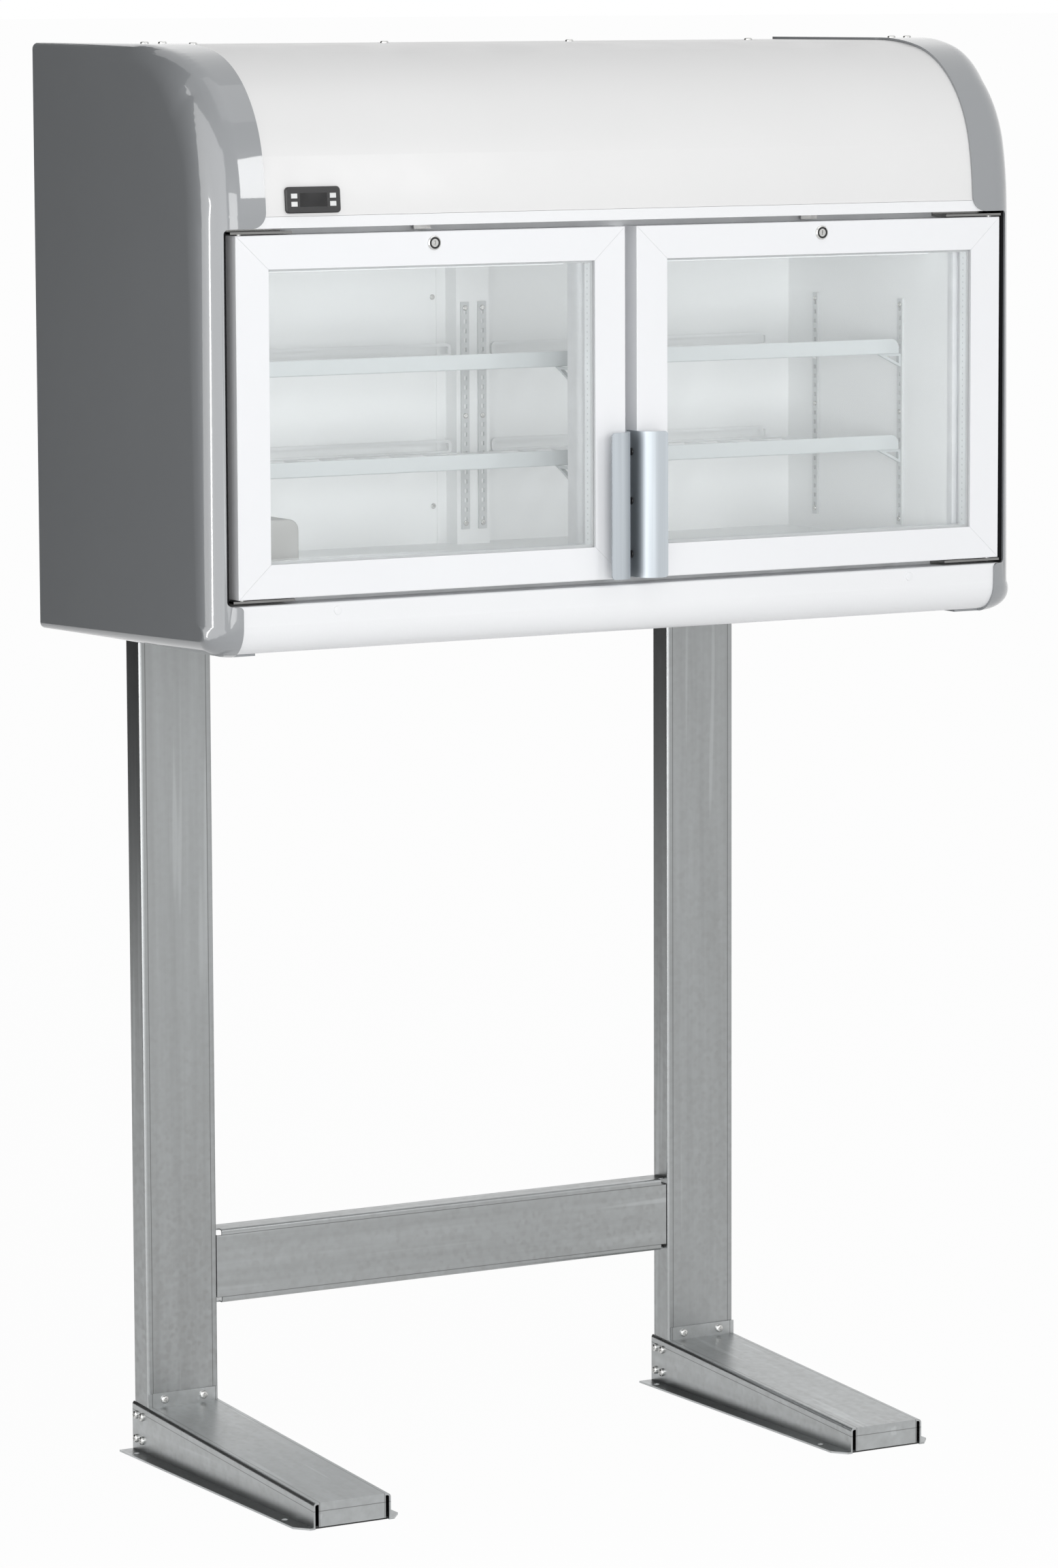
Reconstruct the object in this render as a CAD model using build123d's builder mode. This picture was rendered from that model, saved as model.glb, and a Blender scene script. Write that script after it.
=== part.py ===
"""Display freezer on a free-standing frame, two glass doors, in millimetres.

Front is -Y, right is +X, up is +Z. The origin lies on the floor under the middle of the
overall box. Pieces of the right half are drawn in place and mirrored to the left.
"""

import os
from math import asin, cos, radians, sin

from build123d import *

os.makedirs("parts", exist_ok=True)

# Driving dimensions: cabinet
cabinet_width = 1200.0
cabinet_height = 755.0
cabinet_depth = 494.0
stand_clearance = 1115.0

# Driving dimensions: moulded side covers
cover_wall = 3.0
cover_edge_radius = 24.0
cover_toe_radius = 40.0
easing_radius = 420.0
easing_angle = 12.0
shoulder_radius = 165.0
upper_return = 78.0
door_return = 23.0
lower_return = 42.0
return_lip_depth = 18.0
return_corner_radius = 20.0
notch_corner_radius = 6.0

# Driving dimensions: sheet panels and fits
panel_sheet = 1.5
panel_tuck = 22.0
fascia_sheet = 2.0
fascia_fold_radius = 3.0
fascia_rear_gap = 1.0
strip_height = 14.0
strip_sheet = 2.0
canopy_level = 20.0
rear_fold = 40.0
panel_fold_radius = 4.0
fit_gap = 0.3
seam = 0.5

# Driving dimensions: doors
door_height = 448.0
door_rise = 74.0
door_side_inset = 36.0
door_setback = 1.0
door_thickness = 32.0
door_clearance = 8.0
meeting_gap = 17.0
stile_width = 45.0
rail_width = 42.0
door_edge_chamfer = 1.0
mitre_seam = 0.2
mitre_overrun = 0.1
glazing_rebate = 12.0
glazing_lip = 4.0
glass_pane = 4.0
glass_cavity = 16.0
spacer_width = 14.5
gasket_inset = 21.0
gasket_width = 12.0
seal_gap = 8.0

# Driving dimensions: handles, hinges and locks
handle_height = 187.0
handle_rise = 1.0
handle_reach = 22.0
handle_sheet = 2.2
handle_bow_radius = 20.0
handle_lip = 15.0
handle_leg = 22.0
handle_corner_radius = 5.0
hinge_edge = 10.0
hinge_setback = 12.0
hinge_pin_diameter = 8.0
hinge_pin_engagement = 14.0
hinge_pin_end_gap = 1.0
hinge_plate = 3.0
hinge_plate_length = 86.0
hinge_plate_nose = 7.0
hinge_plate_overhang = 5.0
hinge_leg = 14.0
hinge_air = 1.5
pivot_clearance = 0.05
lock_drop = 14.5
lock_ring_diameter = 18.0
lock_ring_height = 3.0
lock_ring_chamfer = 1.0
lock_barrel_diameter = 15.0
lock_plug_diameter = 10.0
lock_keyway = 6.0
lock_keyway_width = 1.5
lock_cam_length = 25.0
lock_cam_width = 12.0
lock_cam_sheet = 2.0
lock_cam_air = 1.0

# Driving dimensions: cold compartment
frame_thickness = 12.0
frame_side_inset = 25.0
frame_margin = 24.0
mullion_width = 84.0
mullion_depth = 52.0
sill_rise = 112.0
liner_sheet = 1.5
liner_side_wall = 85.0
liner_rear_wall = 50.0
liner_floor_rise = 88.0
liner_ceiling_rise = 485.0
foam_side_inset = 30.0
deck_rise = 550.0

# Driving dimensions: shelving
column_width = 50.0
column_depth = 30.0
column_flange = 14.0
column_sheet = 1.2
shelf_level_rises = (229.0, 357.0)
shelf_depth = 276.0
shelf_rear_gap = 14.0
shelf_side_gap = 10.0
shelf_centre_gap = 3.5
shelf_sheet = 1.5
shelf_lip = 20.0
shelf_fold_radius = 2.0
shelf_end_radius = 12.0
shelf_notch_gap = 1.3
shelf_slots_across = 9
shelf_slots_deep = 3
shelf_slot_web = 18.0
shelf_slot_margin = 25.75
stop_column_gap = 6.0
stop_end_gap = 40.0
stop_drop = 1.5
stop_wire = 4.0
stop_radius = 6.0
stop_setback = 8.0
strip_rise = 108.0
slotted_strip_height = 302.0
slotted_strip_width = 12.0
slotted_strip_sheet = 3.0
slotted_strip_slots = 11
slotted_strip_pitch = 26.0
slot_width = 4.0
slot_height = 9.0
column_strip_spacing = 26.0
pilaster_setbacks = (122.0, 331.0)
clip_length = 36.0
clip_drop = 18.0
clip_width = 6.0
mullion_clip_inset = 24.0
mullion_clip_length = 68.0
mullion_clip_drop = 34.0
clip_wire = 3.0
light_end_gap = 18.5
light_width = 22.0
light_height = 12.0
light_edge_radius = 4.0
light_setback = 16.0
probe_cover_width = 72.0
probe_cover_depth = 60.0
probe_cover_height = 77.0
probe_cover_setback = 20.0
probe_cover_radius = 14.0
probe_cover_edge = 3.0

# Driving dimensions: refrigeration
evaporator_side_gap = 45.0
evaporator_edge_gap = 28.5
evaporator_sheet = 2.0
evaporator_tracks = 8
evaporator_track_radius = 4.0
compressor_inset = 270.0
compressor_diameter = 150.0
compressor_dome = 34.0
compressor_dome_height = 47.6
compressor_base_width = 190.0
compressor_base_depth = 110.0
compressor_plate = 3.0
compressor_foot_height = 12.0
compressor_foot_diameter = 22.0
unit_setback = 150.0
unit_headroom = 28.7
condenser_x = -150.0
condenser_length = 62.0
condenser_depth = 150.0
condenser_drop = 20.0
condenser_fins = 11
condenser_fin_gap = 7.0
condenser_header = 10.0
fan_setback = 19.0
fan_hub_diameter = 40.0
fan_hub_length = 20.0
fan_blades = 5
fan_blade_width = 38.0
fan_blade_sheet = 1.6
fan_blade_pitch = 28.0
fan_tip_gap = 6.0
shroud_drop = 2.0
shroud_rim = 9.0
shroud_length = 30.0
motor_diameter = 66.0
motor_length = 52.0
motor_shaft_diameter = 6.0
motor_gap = 6.0
motor_foot_width = 40.0
motor_foot_length = 36.0
control_box_inset = 270.0
control_box_width = 150.0
control_box_depth = 110.0
control_box_height = 80.0
control_box_radius = 4.0
grille_slots = 8
grille_slot_width = 180.0
grille_slot_height = 6.0
grille_edge = 22.25
grille_bank_spacing = 420.0

# Driving dimensions: controller
controller_inset = 66.0
controller_clearance = 3.75
controller_width = 76.0
controller_height = 32.5
controller_corner_radius = 5.0
controller_bezel = 4.5
controller_chamfer = 1.1
controller_body_width = 71.0
controller_body_height = 28.0
controller_body_depth = 45.0
controller_cutout_gap = 0.6
window_width = 38.0
window_height = 17.0
window_depth = 1.2
button_width = 8.5
button_height = 6.0
button_spacing_x = 54.0
button_spacing_y = 10.0
button_depth = 3.0
button_proud = 0.8
button_edge_radius = 0.4
button_well = 5.0
button_gap = 0.25

# Driving dimensions: stand
post_width = 106.0
post_depth = 40.0
post_sheet = 2.0
post_lip = 15.0
post_fold_radius = 4.0
post_side_inset = 195.0
post_overlap = 600.0
foot_reach = 474.0
foot_sheet = 2.5
foot_front_height = 34.6
foot_post_height = 65.0
foot_flange = 20.0
foot_fold_radius = 5.0
foot_upstand = 18.0
foot_nose_slot = 5.0
foot_nose_air = 3.0
foot_flange_chamfer = 18.0
floor_hole_diameter = 9.0
floor_hole_front_inset = 60.0
floor_hole_rear_inset = 30.0
bar_rise = 194.0
bar_height = 100.0
bar_depth = 34.0
bar_setback = 3.0
bar_end_gap = 1.0
bar_sheet = 2.0
bar_fold_radius = 4.0
bar_notch = 8.0
stud_diameter = 8.0
stud_hole_clearance = 0.5
stud_spacing = 60.0
stud_rises = (90.0, 500.0)
stud_nut_width = 13.0
stud_nut_height = 6.5
stud_washer_diameter = 24.0
screw_diameter = 11.0
screw_height = 4.0
screw_chamfer = 2.4
screw_spacing_front = 58.0
screw_spacing_side = 18.0
screw_rises = (18.0, 50.0)

# Planes of the cabinet
half_width = cabinet_width / 2
base_z = stand_clearance
top_z = base_z + cabinet_height
rear_y = (cabinet_depth - door_setback + handle_reach - post_depth) / 2
front_y = rear_y - cabinet_depth
panel_inset = cover_wall + fit_gap
panel_half = half_width - upper_return + panel_tuck

# The shoulder turns a quarter circle in three tangent arcs
easing = radians(easing_angle)
easing_rise = easing_radius * (sin(easing) + 1 - cos(easing))
shoulder_rise = easing_rise + shoulder_radius * (cos(easing) - sin(easing))
shoulder_z = top_z - shoulder_rise
shoulder_end_y = front_y + shoulder_rise

# Planes of the doors and of what surrounds them
door_front_y = front_y + door_setback
door_rear_y = door_front_y + door_thickness
door_z0 = base_z + door_rise
door_z1 = door_z0 + door_height
door_x0 = meeting_gap / 2
door_x1 = half_width - door_side_inset
door_mid_x = (door_x0 + door_x1) / 2
door_mid_z = (door_z0 + door_z1) / 2
strip_z0 = door_z1 + door_clearance
strip_z1 = strip_z0 + strip_height
fascia_top_z = door_z0 - door_clearance
notch_z0 = base_z - seam
notch_z1 = strip_z0 + return_corner_radius + seam
frame_face_y = door_rear_y + seal_gap
frame_back_y = frame_face_y + frame_thickness

# Planes of the cold compartment
liner_half = half_width - liner_side_wall
liner_rear_y = rear_y - liner_rear_wall
liner_z0 = base_z + liner_floor_rise
liner_z1 = base_z + liner_ceiling_rise
rear_skin_y = rear_y - panel_inset
rear_foam_y = rear_skin_y - panel_sheet
foam_half = half_width - foam_side_inset
foam_z0 = base_z + panel_inset + panel_sheet
foam_z1 = base_z + deck_rise
deck_z = foam_z1 + panel_sheet
roof_z = top_z - panel_inset - panel_sheet
canopy_end_y = shoulder_end_y + canopy_level
unit_y = rear_y - unit_setback
unit_height = roof_z - deck_z - unit_headroom


def finish(piece, name):
    """Label a finished piece and write it to its own file."""
    piece.part.label = name
    export_step(piece.part, f"parts/{name}.step")


def mirrored(piece):
    """The same piece on the other side of the cabinet's middle plane."""
    with BuildPart() as copy:
        mirror(piece.part, about=Plane.YZ)
    return copy


def block(x0, x1, y0, y1, z0, z1, mode=Mode.ADD):
    """A box between two corners, for use inside a part."""
    with Locations(((x0 + x1) / 2, (y0 + y1) / 2, (z0 + z1) / 2)):
        return Box(abs(x1 - x0), abs(y1 - y0), abs(z1 - z0), mode=mode)


def shoulder(inset):
    """Draw the shoulder from the upright front to the level top, inset from the covers' skin."""
    lower = JernArc((front_y + inset, shoulder_z), (0, 1), easing_radius - inset, -easing_angle)
    middle = JernArc(lower @ 1, lower % 1, shoulder_radius - inset, 2 * easing_angle - 90)
    upper = JernArc(middle @ 1, middle % 1, easing_radius - inset, -easing_angle)
    return upper @ 1


# Side covers: moulded shells whose front return is wide at the canopy and narrow at the door
with BuildPart() as left_side_cover:
    with BuildSketch(Plane.YZ.offset(-half_width)):
        with BuildLine():
            crown = shoulder(0)
            Polyline(crown, (rear_y, top_z), (rear_y, base_z))
            FilletPolyline(
                (rear_y, base_z),
                (front_y, base_z),
                (front_y, shoulder_z),
                radius=cover_toe_radius,
            )
        make_face()
    extrude(amount=upper_return)
    outline = left_side_cover.faces().sort_by(Axis.X)[0].edges().sort_by(Axis.Y)
    fillet(outline[:-1], radius=cover_edge_radius)
    offset(amount=-cover_wall, openings=left_side_cover.faces().sort_by(Axis.X)[-1])
    with BuildSketch(Plane.XZ.offset(-front_y + seam)):
        with Locations((-half_width + upper_return / 2, (notch_z0 + notch_z1) / 2)):
            Rectangle(upper_return, notch_z1 - notch_z0)
        with BuildSketch(mode=Mode.SUBTRACT) as kept:
            with BuildLine():
                Polyline(
                    (-half_width, notch_z0),
                    (-half_width + lower_return, notch_z0),
                    (-half_width + lower_return, fascia_top_z),
                    (-half_width + door_return, fascia_top_z),
                    (-half_width + door_return, strip_z0),
                    (-half_width + upper_return, strip_z0),
                    (-half_width + upper_return, notch_z1),
                    (-half_width, notch_z1),
                    close=True,
                )
            make_face()
            sill_corners, head_corners = kept.vertices().group_by(Axis.Y)[1:3]
            inner_head, outer_head = head_corners.sort_by(Axis.X)
            fillet([*sill_corners, inner_head], radius=notch_corner_radius)
            fillet(kept.vertices().sort_by_distance(outer_head)[0], radius=return_corner_radius)
    extrude(amount=-frame_face_y + front_y, mode=Mode.SUBTRACT)
    block(
        -half_width + door_return - cover_wall,
        -half_width + door_return,
        front_y + cover_wall,
        front_y + return_lip_depth,
        fascia_top_z,
        strip_z0,
    )
right_side_cover = mirrored(left_side_cover)
finish(left_side_cover, "left_side_cover")
finish(right_side_cover, "right_side_cover")


def sheet_section(plane, side, sheet, draw):
    """Section of a folded sheet: draw() traces one skin, side says where the metal lies."""
    with BuildSketch(plane) as section:
        with BuildLine():
            draw()
            offset(amount=sheet, side=side)
        make_face()
    return section.sketch


# Canopy: one curved sheet tucked behind the covers' returns, with the controller's cut-out
controller_x = -half_width + upper_return + controller_inset
controller_z = strip_z1 + controller_clearance + controller_height / 2
controller_arc = easing_radius - panel_inset
controller_lean = asin((controller_z - shoulder_z) / controller_arc)
controller_plane = Plane(
    origin=(
        controller_x,
        front_y + easing_radius - controller_arc * cos(controller_lean),
        controller_z,
    ),
    x_dir=(1, 0, 0),
    z_dir=(0, -cos(controller_lean), sin(controller_lean)),
)


def canopy_skin():
    """Outer skin of the canopy, from below the strip to the level top."""
    Line((front_y + panel_inset, base_z), (front_y + panel_inset, shoulder_z))
    crest = shoulder(panel_inset)
    Line(crest, (canopy_end_y, top_z - panel_inset))


left_end = Plane.YZ.offset(-panel_half)
with BuildPart() as canopy:
    extrude(sheet_section(left_end, Side.RIGHT, panel_sheet, canopy_skin), amount=2 * panel_half)
    split(bisect_by=Plane.XY.offset(strip_z1 + fit_gap), keep=Keep.TOP)
    with BuildSketch(controller_plane.offset(controller_bezel)):
        Rectangle(
            controller_body_width + 2 * controller_cutout_gap,
            controller_body_height + 2 * controller_cutout_gap,
        )
    extrude(amount=-controller_body_depth, mode=Mode.SUBTRACT)
finish(canopy, "canopy")


# Roof and bottom sheets folded round the rear corners, with the rear panels between them
def roof_skin():
    """Outer skin of the roof and of its fold down the rear."""
    FilletPolyline(
        (canopy_end_y + seam, top_z - panel_inset),
        (rear_skin_y, top_z - panel_inset),
        (rear_skin_y, top_z - rear_fold),
        radius=panel_fold_radius,
    )


def bottom_skin():
    """Outer skin of the bottom sheet and of its fold up the rear."""
    FilletPolyline(
        (rear_skin_y, base_z + rear_fold),
        (rear_skin_y, base_z + panel_inset),
        (frame_back_y + seam, base_z + panel_inset),
        radius=panel_fold_radius,
    )


with BuildPart() as top_panel:
    extrude(sheet_section(left_end, Side.RIGHT, panel_sheet, roof_skin), amount=2 * panel_half)
finish(top_panel, "top_panel")

with BuildPart() as bottom_panel:
    extrude(sheet_section(left_end, Side.RIGHT, panel_sheet, bottom_skin), amount=2 * panel_half)
finish(bottom_panel, "bottom_panel")

with BuildPart() as rear_panel:
    block(-panel_half, panel_half, rear_foam_y, rear_skin_y, base_z + rear_fold + seam, deck_z)
finish(rear_panel, "rear_panel")

grille_z0 = deck_z + seam
grille_z1 = top_z - rear_fold - seam
grille_slot_span = grille_z1 - grille_z0 - 2 * grille_edge - grille_slot_height
grille_slot_pitch = grille_slot_span / (grille_slots - 1)
with BuildPart() as rear_grille:
    block(-panel_half, panel_half, rear_foam_y, rear_skin_y, grille_z0, grille_z1)
    with Locations(Plane.XZ.offset(-rear_skin_y)):
        with Locations((0, (grille_z0 + grille_z1) / 2)):
            with GridLocations(grille_bank_spacing, grille_slot_pitch, 2, grille_slots):
                Box(grille_slot_width, grille_slot_height, 4 * panel_sheet, mode=Mode.SUBTRACT)
finish(rear_grille, "rear_grille")


# Header strip above the doors and the rounded fascia below them
def strip_skin():
    """Front and top skin of the header strip."""
    Polyline(
        (front_y + panel_inset, strip_z0),
        (front_y + panel_inset, strip_z1),
        (frame_face_y, strip_z1),
    )


def fascia_skin():
    """Outer skin of the fascia: ledge, front and rounded toe."""
    FilletPolyline(
        (frame_face_y - hinge_plate - fascia_rear_gap, fascia_top_z),
        (front_y + panel_inset, fascia_top_z),
        (front_y + panel_inset, base_z + panel_inset),
        (frame_back_y, base_z + panel_inset),
        radius=[fascia_fold_radius, cover_toe_radius - panel_inset],
    )


with BuildPart() as header_strip:
    extrude(sheet_section(left_end, Side.RIGHT, strip_sheet, strip_skin), amount=2 * panel_half)
finish(header_strip, "header_strip")

fascia_half = half_width - lower_return + panel_tuck / 2
with BuildPart() as lower_fascia:
    fascia_end = Plane.YZ.offset(-fascia_half)
    extrude(sheet_section(fascia_end, Side.LEFT, fascia_sheet, fascia_skin), amount=2 * fascia_half)
finish(lower_fascia, "lower_fascia")

# Front frame: the surround that the doors seal on, with a deep mullion between them
frame_half = half_width - frame_side_inset
frame_z0 = fascia_top_z - frame_margin
frame_z1 = strip_z1 + fit_gap
sill_z = base_z + sill_rise
mullion_rear_y = frame_face_y + mullion_depth
with BuildPart() as front_frame:
    block(-frame_half, frame_half, frame_face_y, frame_back_y, frame_z0, frame_z1)
    for side in (-1, 1):
        block(
            side * mullion_width / 2,
            side * liner_half,
            frame_face_y,
            frame_back_y,
            sill_z,
            liner_z1,
            mode=Mode.SUBTRACT,
        )
    block(-mullion_width / 2, mullion_width / 2, frame_face_y, mullion_rear_y, liner_z0, liner_z1)
finish(front_frame, "front_frame")

# Liner, evaporator behind it and the foam around both
with BuildPart() as inner_liner:
    block(
        -liner_half - liner_sheet,
        liner_half + liner_sheet,
        frame_back_y,
        liner_rear_y + liner_sheet,
        liner_z0 - liner_sheet,
        liner_z1 + liner_sheet,
    )
    block(-liner_half, liner_half, frame_back_y, liner_rear_y, liner_z0, liner_z1, mode=Mode.SUBTRACT)
finish(inner_liner, "inner_liner")

evaporator_width = 2 * (liner_half - evaporator_side_gap)
evaporator_height = liner_z1 - liner_z0 - 2 * evaporator_edge_gap
evaporator_y = liner_rear_y + liner_sheet
evaporator_z = (liner_z0 + liner_z1) / 2
track_pitch = evaporator_height / evaporator_tracks
with BuildPart() as evaporator:
    block(
        -evaporator_width / 2,
        evaporator_width / 2,
        evaporator_y,
        evaporator_y + evaporator_sheet,
        evaporator_z - evaporator_height / 2,
        evaporator_z + evaporator_height / 2,
    )
    with BuildSketch(Plane.YZ.offset(-evaporator_width / 2)):
        with Locations((evaporator_y + evaporator_sheet, evaporator_z)):
            with GridLocations(1, track_pitch, 1, evaporator_tracks):
                Circle(evaporator_track_radius)
        with Locations((evaporator_y, evaporator_z)):
            Rectangle(
                2 * evaporator_track_radius,
                evaporator_height,
                align=(Align.MAX, Align.CENTER),
                mode=Mode.SUBTRACT,
            )
    extrude(amount=evaporator_width)
finish(evaporator, "evaporator")

with BuildPart() as insulation:
    block(-foam_half, foam_half, frame_back_y, rear_foam_y, foam_z0, foam_z1)
    fillet(
        insulation.edges().filter_by(Axis.X).group_by(Axis.Z)[0].sort_by(Axis.Y)[-1],
        radius=panel_fold_radius,
    )
    block(
        -liner_half - liner_sheet,
        liner_half + liner_sheet,
        frame_back_y,
        liner_rear_y + liner_sheet,
        liner_z0 - liner_sheet,
        liner_z1 + liner_sheet,
        mode=Mode.SUBTRACT,
    )
    block(
        -evaporator_width / 2,
        evaporator_width / 2,
        evaporator_y,
        evaporator_y + evaporator_sheet + evaporator_track_radius,
        evaporator_z - evaporator_height / 2,
        evaporator_z + evaporator_height / 2,
        mode=Mode.SUBTRACT,
    )
finish(insulation, "insulation")

with BuildPart() as machine_deck:
    block(-foam_half, foam_half, frame_back_y, rear_foam_y, foam_z1, deck_z)
finish(machine_deck, "machine_deck")


# Shelving: centre column, slotted strips, clips and four shelves
column_y = liner_rear_y - column_depth


def column_skin():
    """Room-side skin of the hat-shaped column, seen from above."""
    Polyline(
        (-column_width / 2 - column_flange, liner_rear_y - column_sheet),
        (-column_width / 2, liner_rear_y - column_sheet),
        (-column_width / 2, column_y),
        (column_width / 2, column_y),
        (column_width / 2, liner_rear_y - column_sheet),
        (column_width / 2 + column_flange, liner_rear_y - column_sheet),
    )


with BuildPart() as centre_column:
    column_base = Plane.XY.offset(liner_z0)
    extrude(
        sheet_section(column_base, Side.LEFT, column_sheet, column_skin),
        amount=liner_z1 - liner_z0,
    )
finish(centre_column, "centre_column")

strip_mid_z = base_z + strip_rise + slotted_strip_height / 2
strip_faces = []
for side in (-1, 1):
    column_strip_x = side * column_strip_spacing / 2
    strip_faces.append(Plane((column_strip_x, column_y, strip_mid_z), (1, 0, 0), (0, -1, 0)))
    for setback in pilaster_setbacks:
        strip_faces.append(
            Plane((side * liner_half, rear_y - setback, strip_mid_z), (0, -side, 0), (-side, 0, 0))
        )
with BuildPart() as shelf_strips:
    for face in strip_faces:
        with BuildSketch(face):
            Rectangle(slotted_strip_width, slotted_strip_height)
            with GridLocations(1, slotted_strip_pitch, 1, slotted_strip_slots):
                Rectangle(slot_width, slot_height, mode=Mode.SUBTRACT)
        extrude(amount=slotted_strip_sheet)
finish(shelf_strips, "shelf_strips")

shelf_rear_y = liner_rear_y - shelf_rear_gap
shelf_front_y = shelf_rear_y - shelf_depth
shelf_x0 = shelf_centre_gap
shelf_x1 = liner_half - shelf_side_gap
shelf_width = shelf_x1 - shelf_x0
clip_face = liner_half - slotted_strip_sheet
column_clip_y = column_y - slotted_strip_sheet


def clip_section(plane, corner, length, drop):
    """A triangular clip of bent bar: upright against its strip, level arm of a signed length."""
    with BuildSketch(plane) as section:
        with BuildLine():
            Polyline(
                corner,
                (corner[0] + length, corner[1]),
                (corner[0], corner[1] - drop),
                close=True,
            )
        make_face()
        offset(amount=-clip_wire, mode=Mode.SUBTRACT)
    return section.sketch


with BuildPart() as shelf_brackets:
    for rise in shelf_level_rises:
        clip_z = base_z + rise - shelf_lip
        for side in (-1, 1):
            for setback in pilaster_setbacks:
                wall_plane = Plane.XZ.offset(setback - rear_y - clip_width / 2)
                wall_corner = (side * clip_face, clip_z)
                extrude(
                    clip_section(wall_plane, wall_corner, -side * clip_length, clip_drop),
                    amount=clip_width,
                )
            column_plane = Plane.YZ.offset(side * column_strip_spacing / 2 - clip_width / 2)
            column_corner = (column_clip_y, clip_z)
            extrude(
                clip_section(column_plane, column_corner, -clip_length, clip_drop),
                amount=clip_width,
            )
            mullion_x = side * (mullion_width / 2 - mullion_clip_inset)
            mullion_plane = Plane.YZ.offset(mullion_x - clip_width / 2)
            mullion_corner = (mullion_rear_y, clip_z)
            extrude(
                clip_section(mullion_plane, mullion_corner, mullion_clip_length, mullion_clip_drop),
                amount=clip_width,
            )
finish(shelf_brackets, "shelf_brackets")


def tray_skin():
    """Under skin of a shelf seen from its end: upturned front lip, then the floor."""
    FilletPolyline(
        (shelf_front_y, 0),
        (shelf_front_y, -shelf_lip),
        (shelf_rear_y, -shelf_lip),
        radius=shelf_fold_radius,
    )


# One right-hand shelf with its lip's top at level zero, copied to its four places
slot_span_x = shelf_width - 2 * shelf_slot_margin + shelf_slot_web
slot_span_y = shelf_depth - 2 * shelf_slot_margin + shelf_slot_web
slot_pitch_x = slot_span_x / shelf_slots_across
slot_pitch_y = slot_span_y / shelf_slots_deep
stop_x0 = column_width / 2 + stop_column_gap
stop_x1 = shelf_x1 - stop_end_gap
stop_height = shelf_lip - stop_drop
with BuildPart() as plain_shelf:
    shelf_end = Plane.YZ.offset(shelf_x0)
    extrude(sheet_section(shelf_end, Side.LEFT, shelf_sheet, tray_skin), amount=shelf_width)
    lip_corner = plain_shelf.edges().filter_by(Axis.Y).group_by(Axis.Z)[-1].sort_by(Axis.X)[-1]
    fillet(lip_corner, radius=shelf_end_radius)
    block(
        shelf_x0,
        column_width / 2 + shelf_notch_gap,
        column_y - slotted_strip_sheet - shelf_notch_gap,
        shelf_rear_y,
        -shelf_lip,
        0,
        mode=Mode.SUBTRACT,
    )
    with Locations(((shelf_x0 + shelf_x1) / 2, (shelf_front_y + shelf_rear_y) / 2, -shelf_lip)):
        with GridLocations(slot_pitch_x, slot_pitch_y, shelf_slots_across, shelf_slots_deep):
            Box(
                slot_pitch_x - shelf_slot_web,
                slot_pitch_y - shelf_slot_web,
                4 * shelf_sheet,
                mode=Mode.SUBTRACT,
            )
    with BuildSketch(Plane.XZ.offset(stop_setback - shelf_rear_y)):
        with Locations(((stop_x0 + stop_x1) / 2, stop_height / 2 - shelf_lip)):
            RectangleRounded(stop_x1 - stop_x0, stop_height, stop_radius)
            RectangleRounded(
                stop_x1 - stop_x0 - 2 * stop_wire,
                stop_height - 2 * stop_wire,
                stop_radius - stop_wire,
                mode=Mode.SUBTRACT,
            )
    extrude(amount=stop_wire)

for level, rise in zip(("lower", "upper"), shelf_level_rises):
    with BuildPart() as right_shelf:
        add(plain_shelf.part.moved(Location((0, 0, base_z + rise))))
    finish(right_shelf, f"{level}_right_shelf")
    finish(mirrored(right_shelf), f"{level}_left_shelf")

# Light bars under the ceiling and the probe's cover in the left front corner
light_y = frame_back_y + light_setback
light_length = liner_half - mullion_width / 2 - 2 * light_end_gap
light_x = (liner_half + mullion_width / 2) / 2
with BuildPart() as ceiling_lights:
    for side in (-1, 1):
        with Locations((side * light_x, light_y + light_width / 2, liner_z1 - light_height / 2)):
            lamp = Box(light_length, light_width, light_height)
        fillet(lamp.edges().filter_by(Axis.X).group_by(Axis.Z)[0], radius=light_edge_radius)
finish(ceiling_lights, "ceiling_lights")

probe_y = frame_back_y + probe_cover_setback
with BuildPart() as probe_cover:
    block(
        -liner_half,
        -liner_half + probe_cover_width,
        probe_y,
        probe_y + probe_cover_depth,
        liner_z0,
        liner_z0 + probe_cover_height,
    )
    room_edges = probe_cover.edges().filter_by(Axis.Y).group_by(Axis.Z)[-1].sort_by(Axis.X)[-1]
    fillet(room_edges, radius=probe_cover_radius)
    fillet(probe_cover.faces().sort_by(Axis.Y)[0].edges().group_by(Axis.Z)[-1], radius=probe_cover_edge)
finish(probe_cover, "probe_cover")

# Condensing unit on the deck behind the canopy
compressor_x = half_width - compressor_inset
compressor_height = unit_height - compressor_foot_height
with BuildPart() as compressor:
    plate_z = deck_z + compressor_foot_height
    with Locations((compressor_x, unit_y, deck_z)):
        with GridLocations(
            compressor_base_width - 2 * compressor_foot_diameter,
            compressor_base_depth - compressor_foot_diameter,
            2,
            2,
        ):
            Cylinder(
                compressor_foot_diameter / 2,
                compressor_foot_height,
                align=(Align.CENTER, Align.CENTER, Align.MIN),
            )
    with Locations((compressor_x, unit_y, plate_z)):
        Box(
            compressor_base_width,
            compressor_base_depth,
            compressor_plate,
            align=(Align.CENTER, Align.CENTER, Align.MIN),
        )
        shell = Cylinder(
            compressor_diameter / 2,
            compressor_height,
            align=(Align.CENTER, Align.CENTER, Align.MIN),
        )
    chamfer(shell.edges().sort_by(Axis.Z)[-1], length=compressor_dome, length2=compressor_dome_height)
finish(compressor, "compressor")

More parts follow.
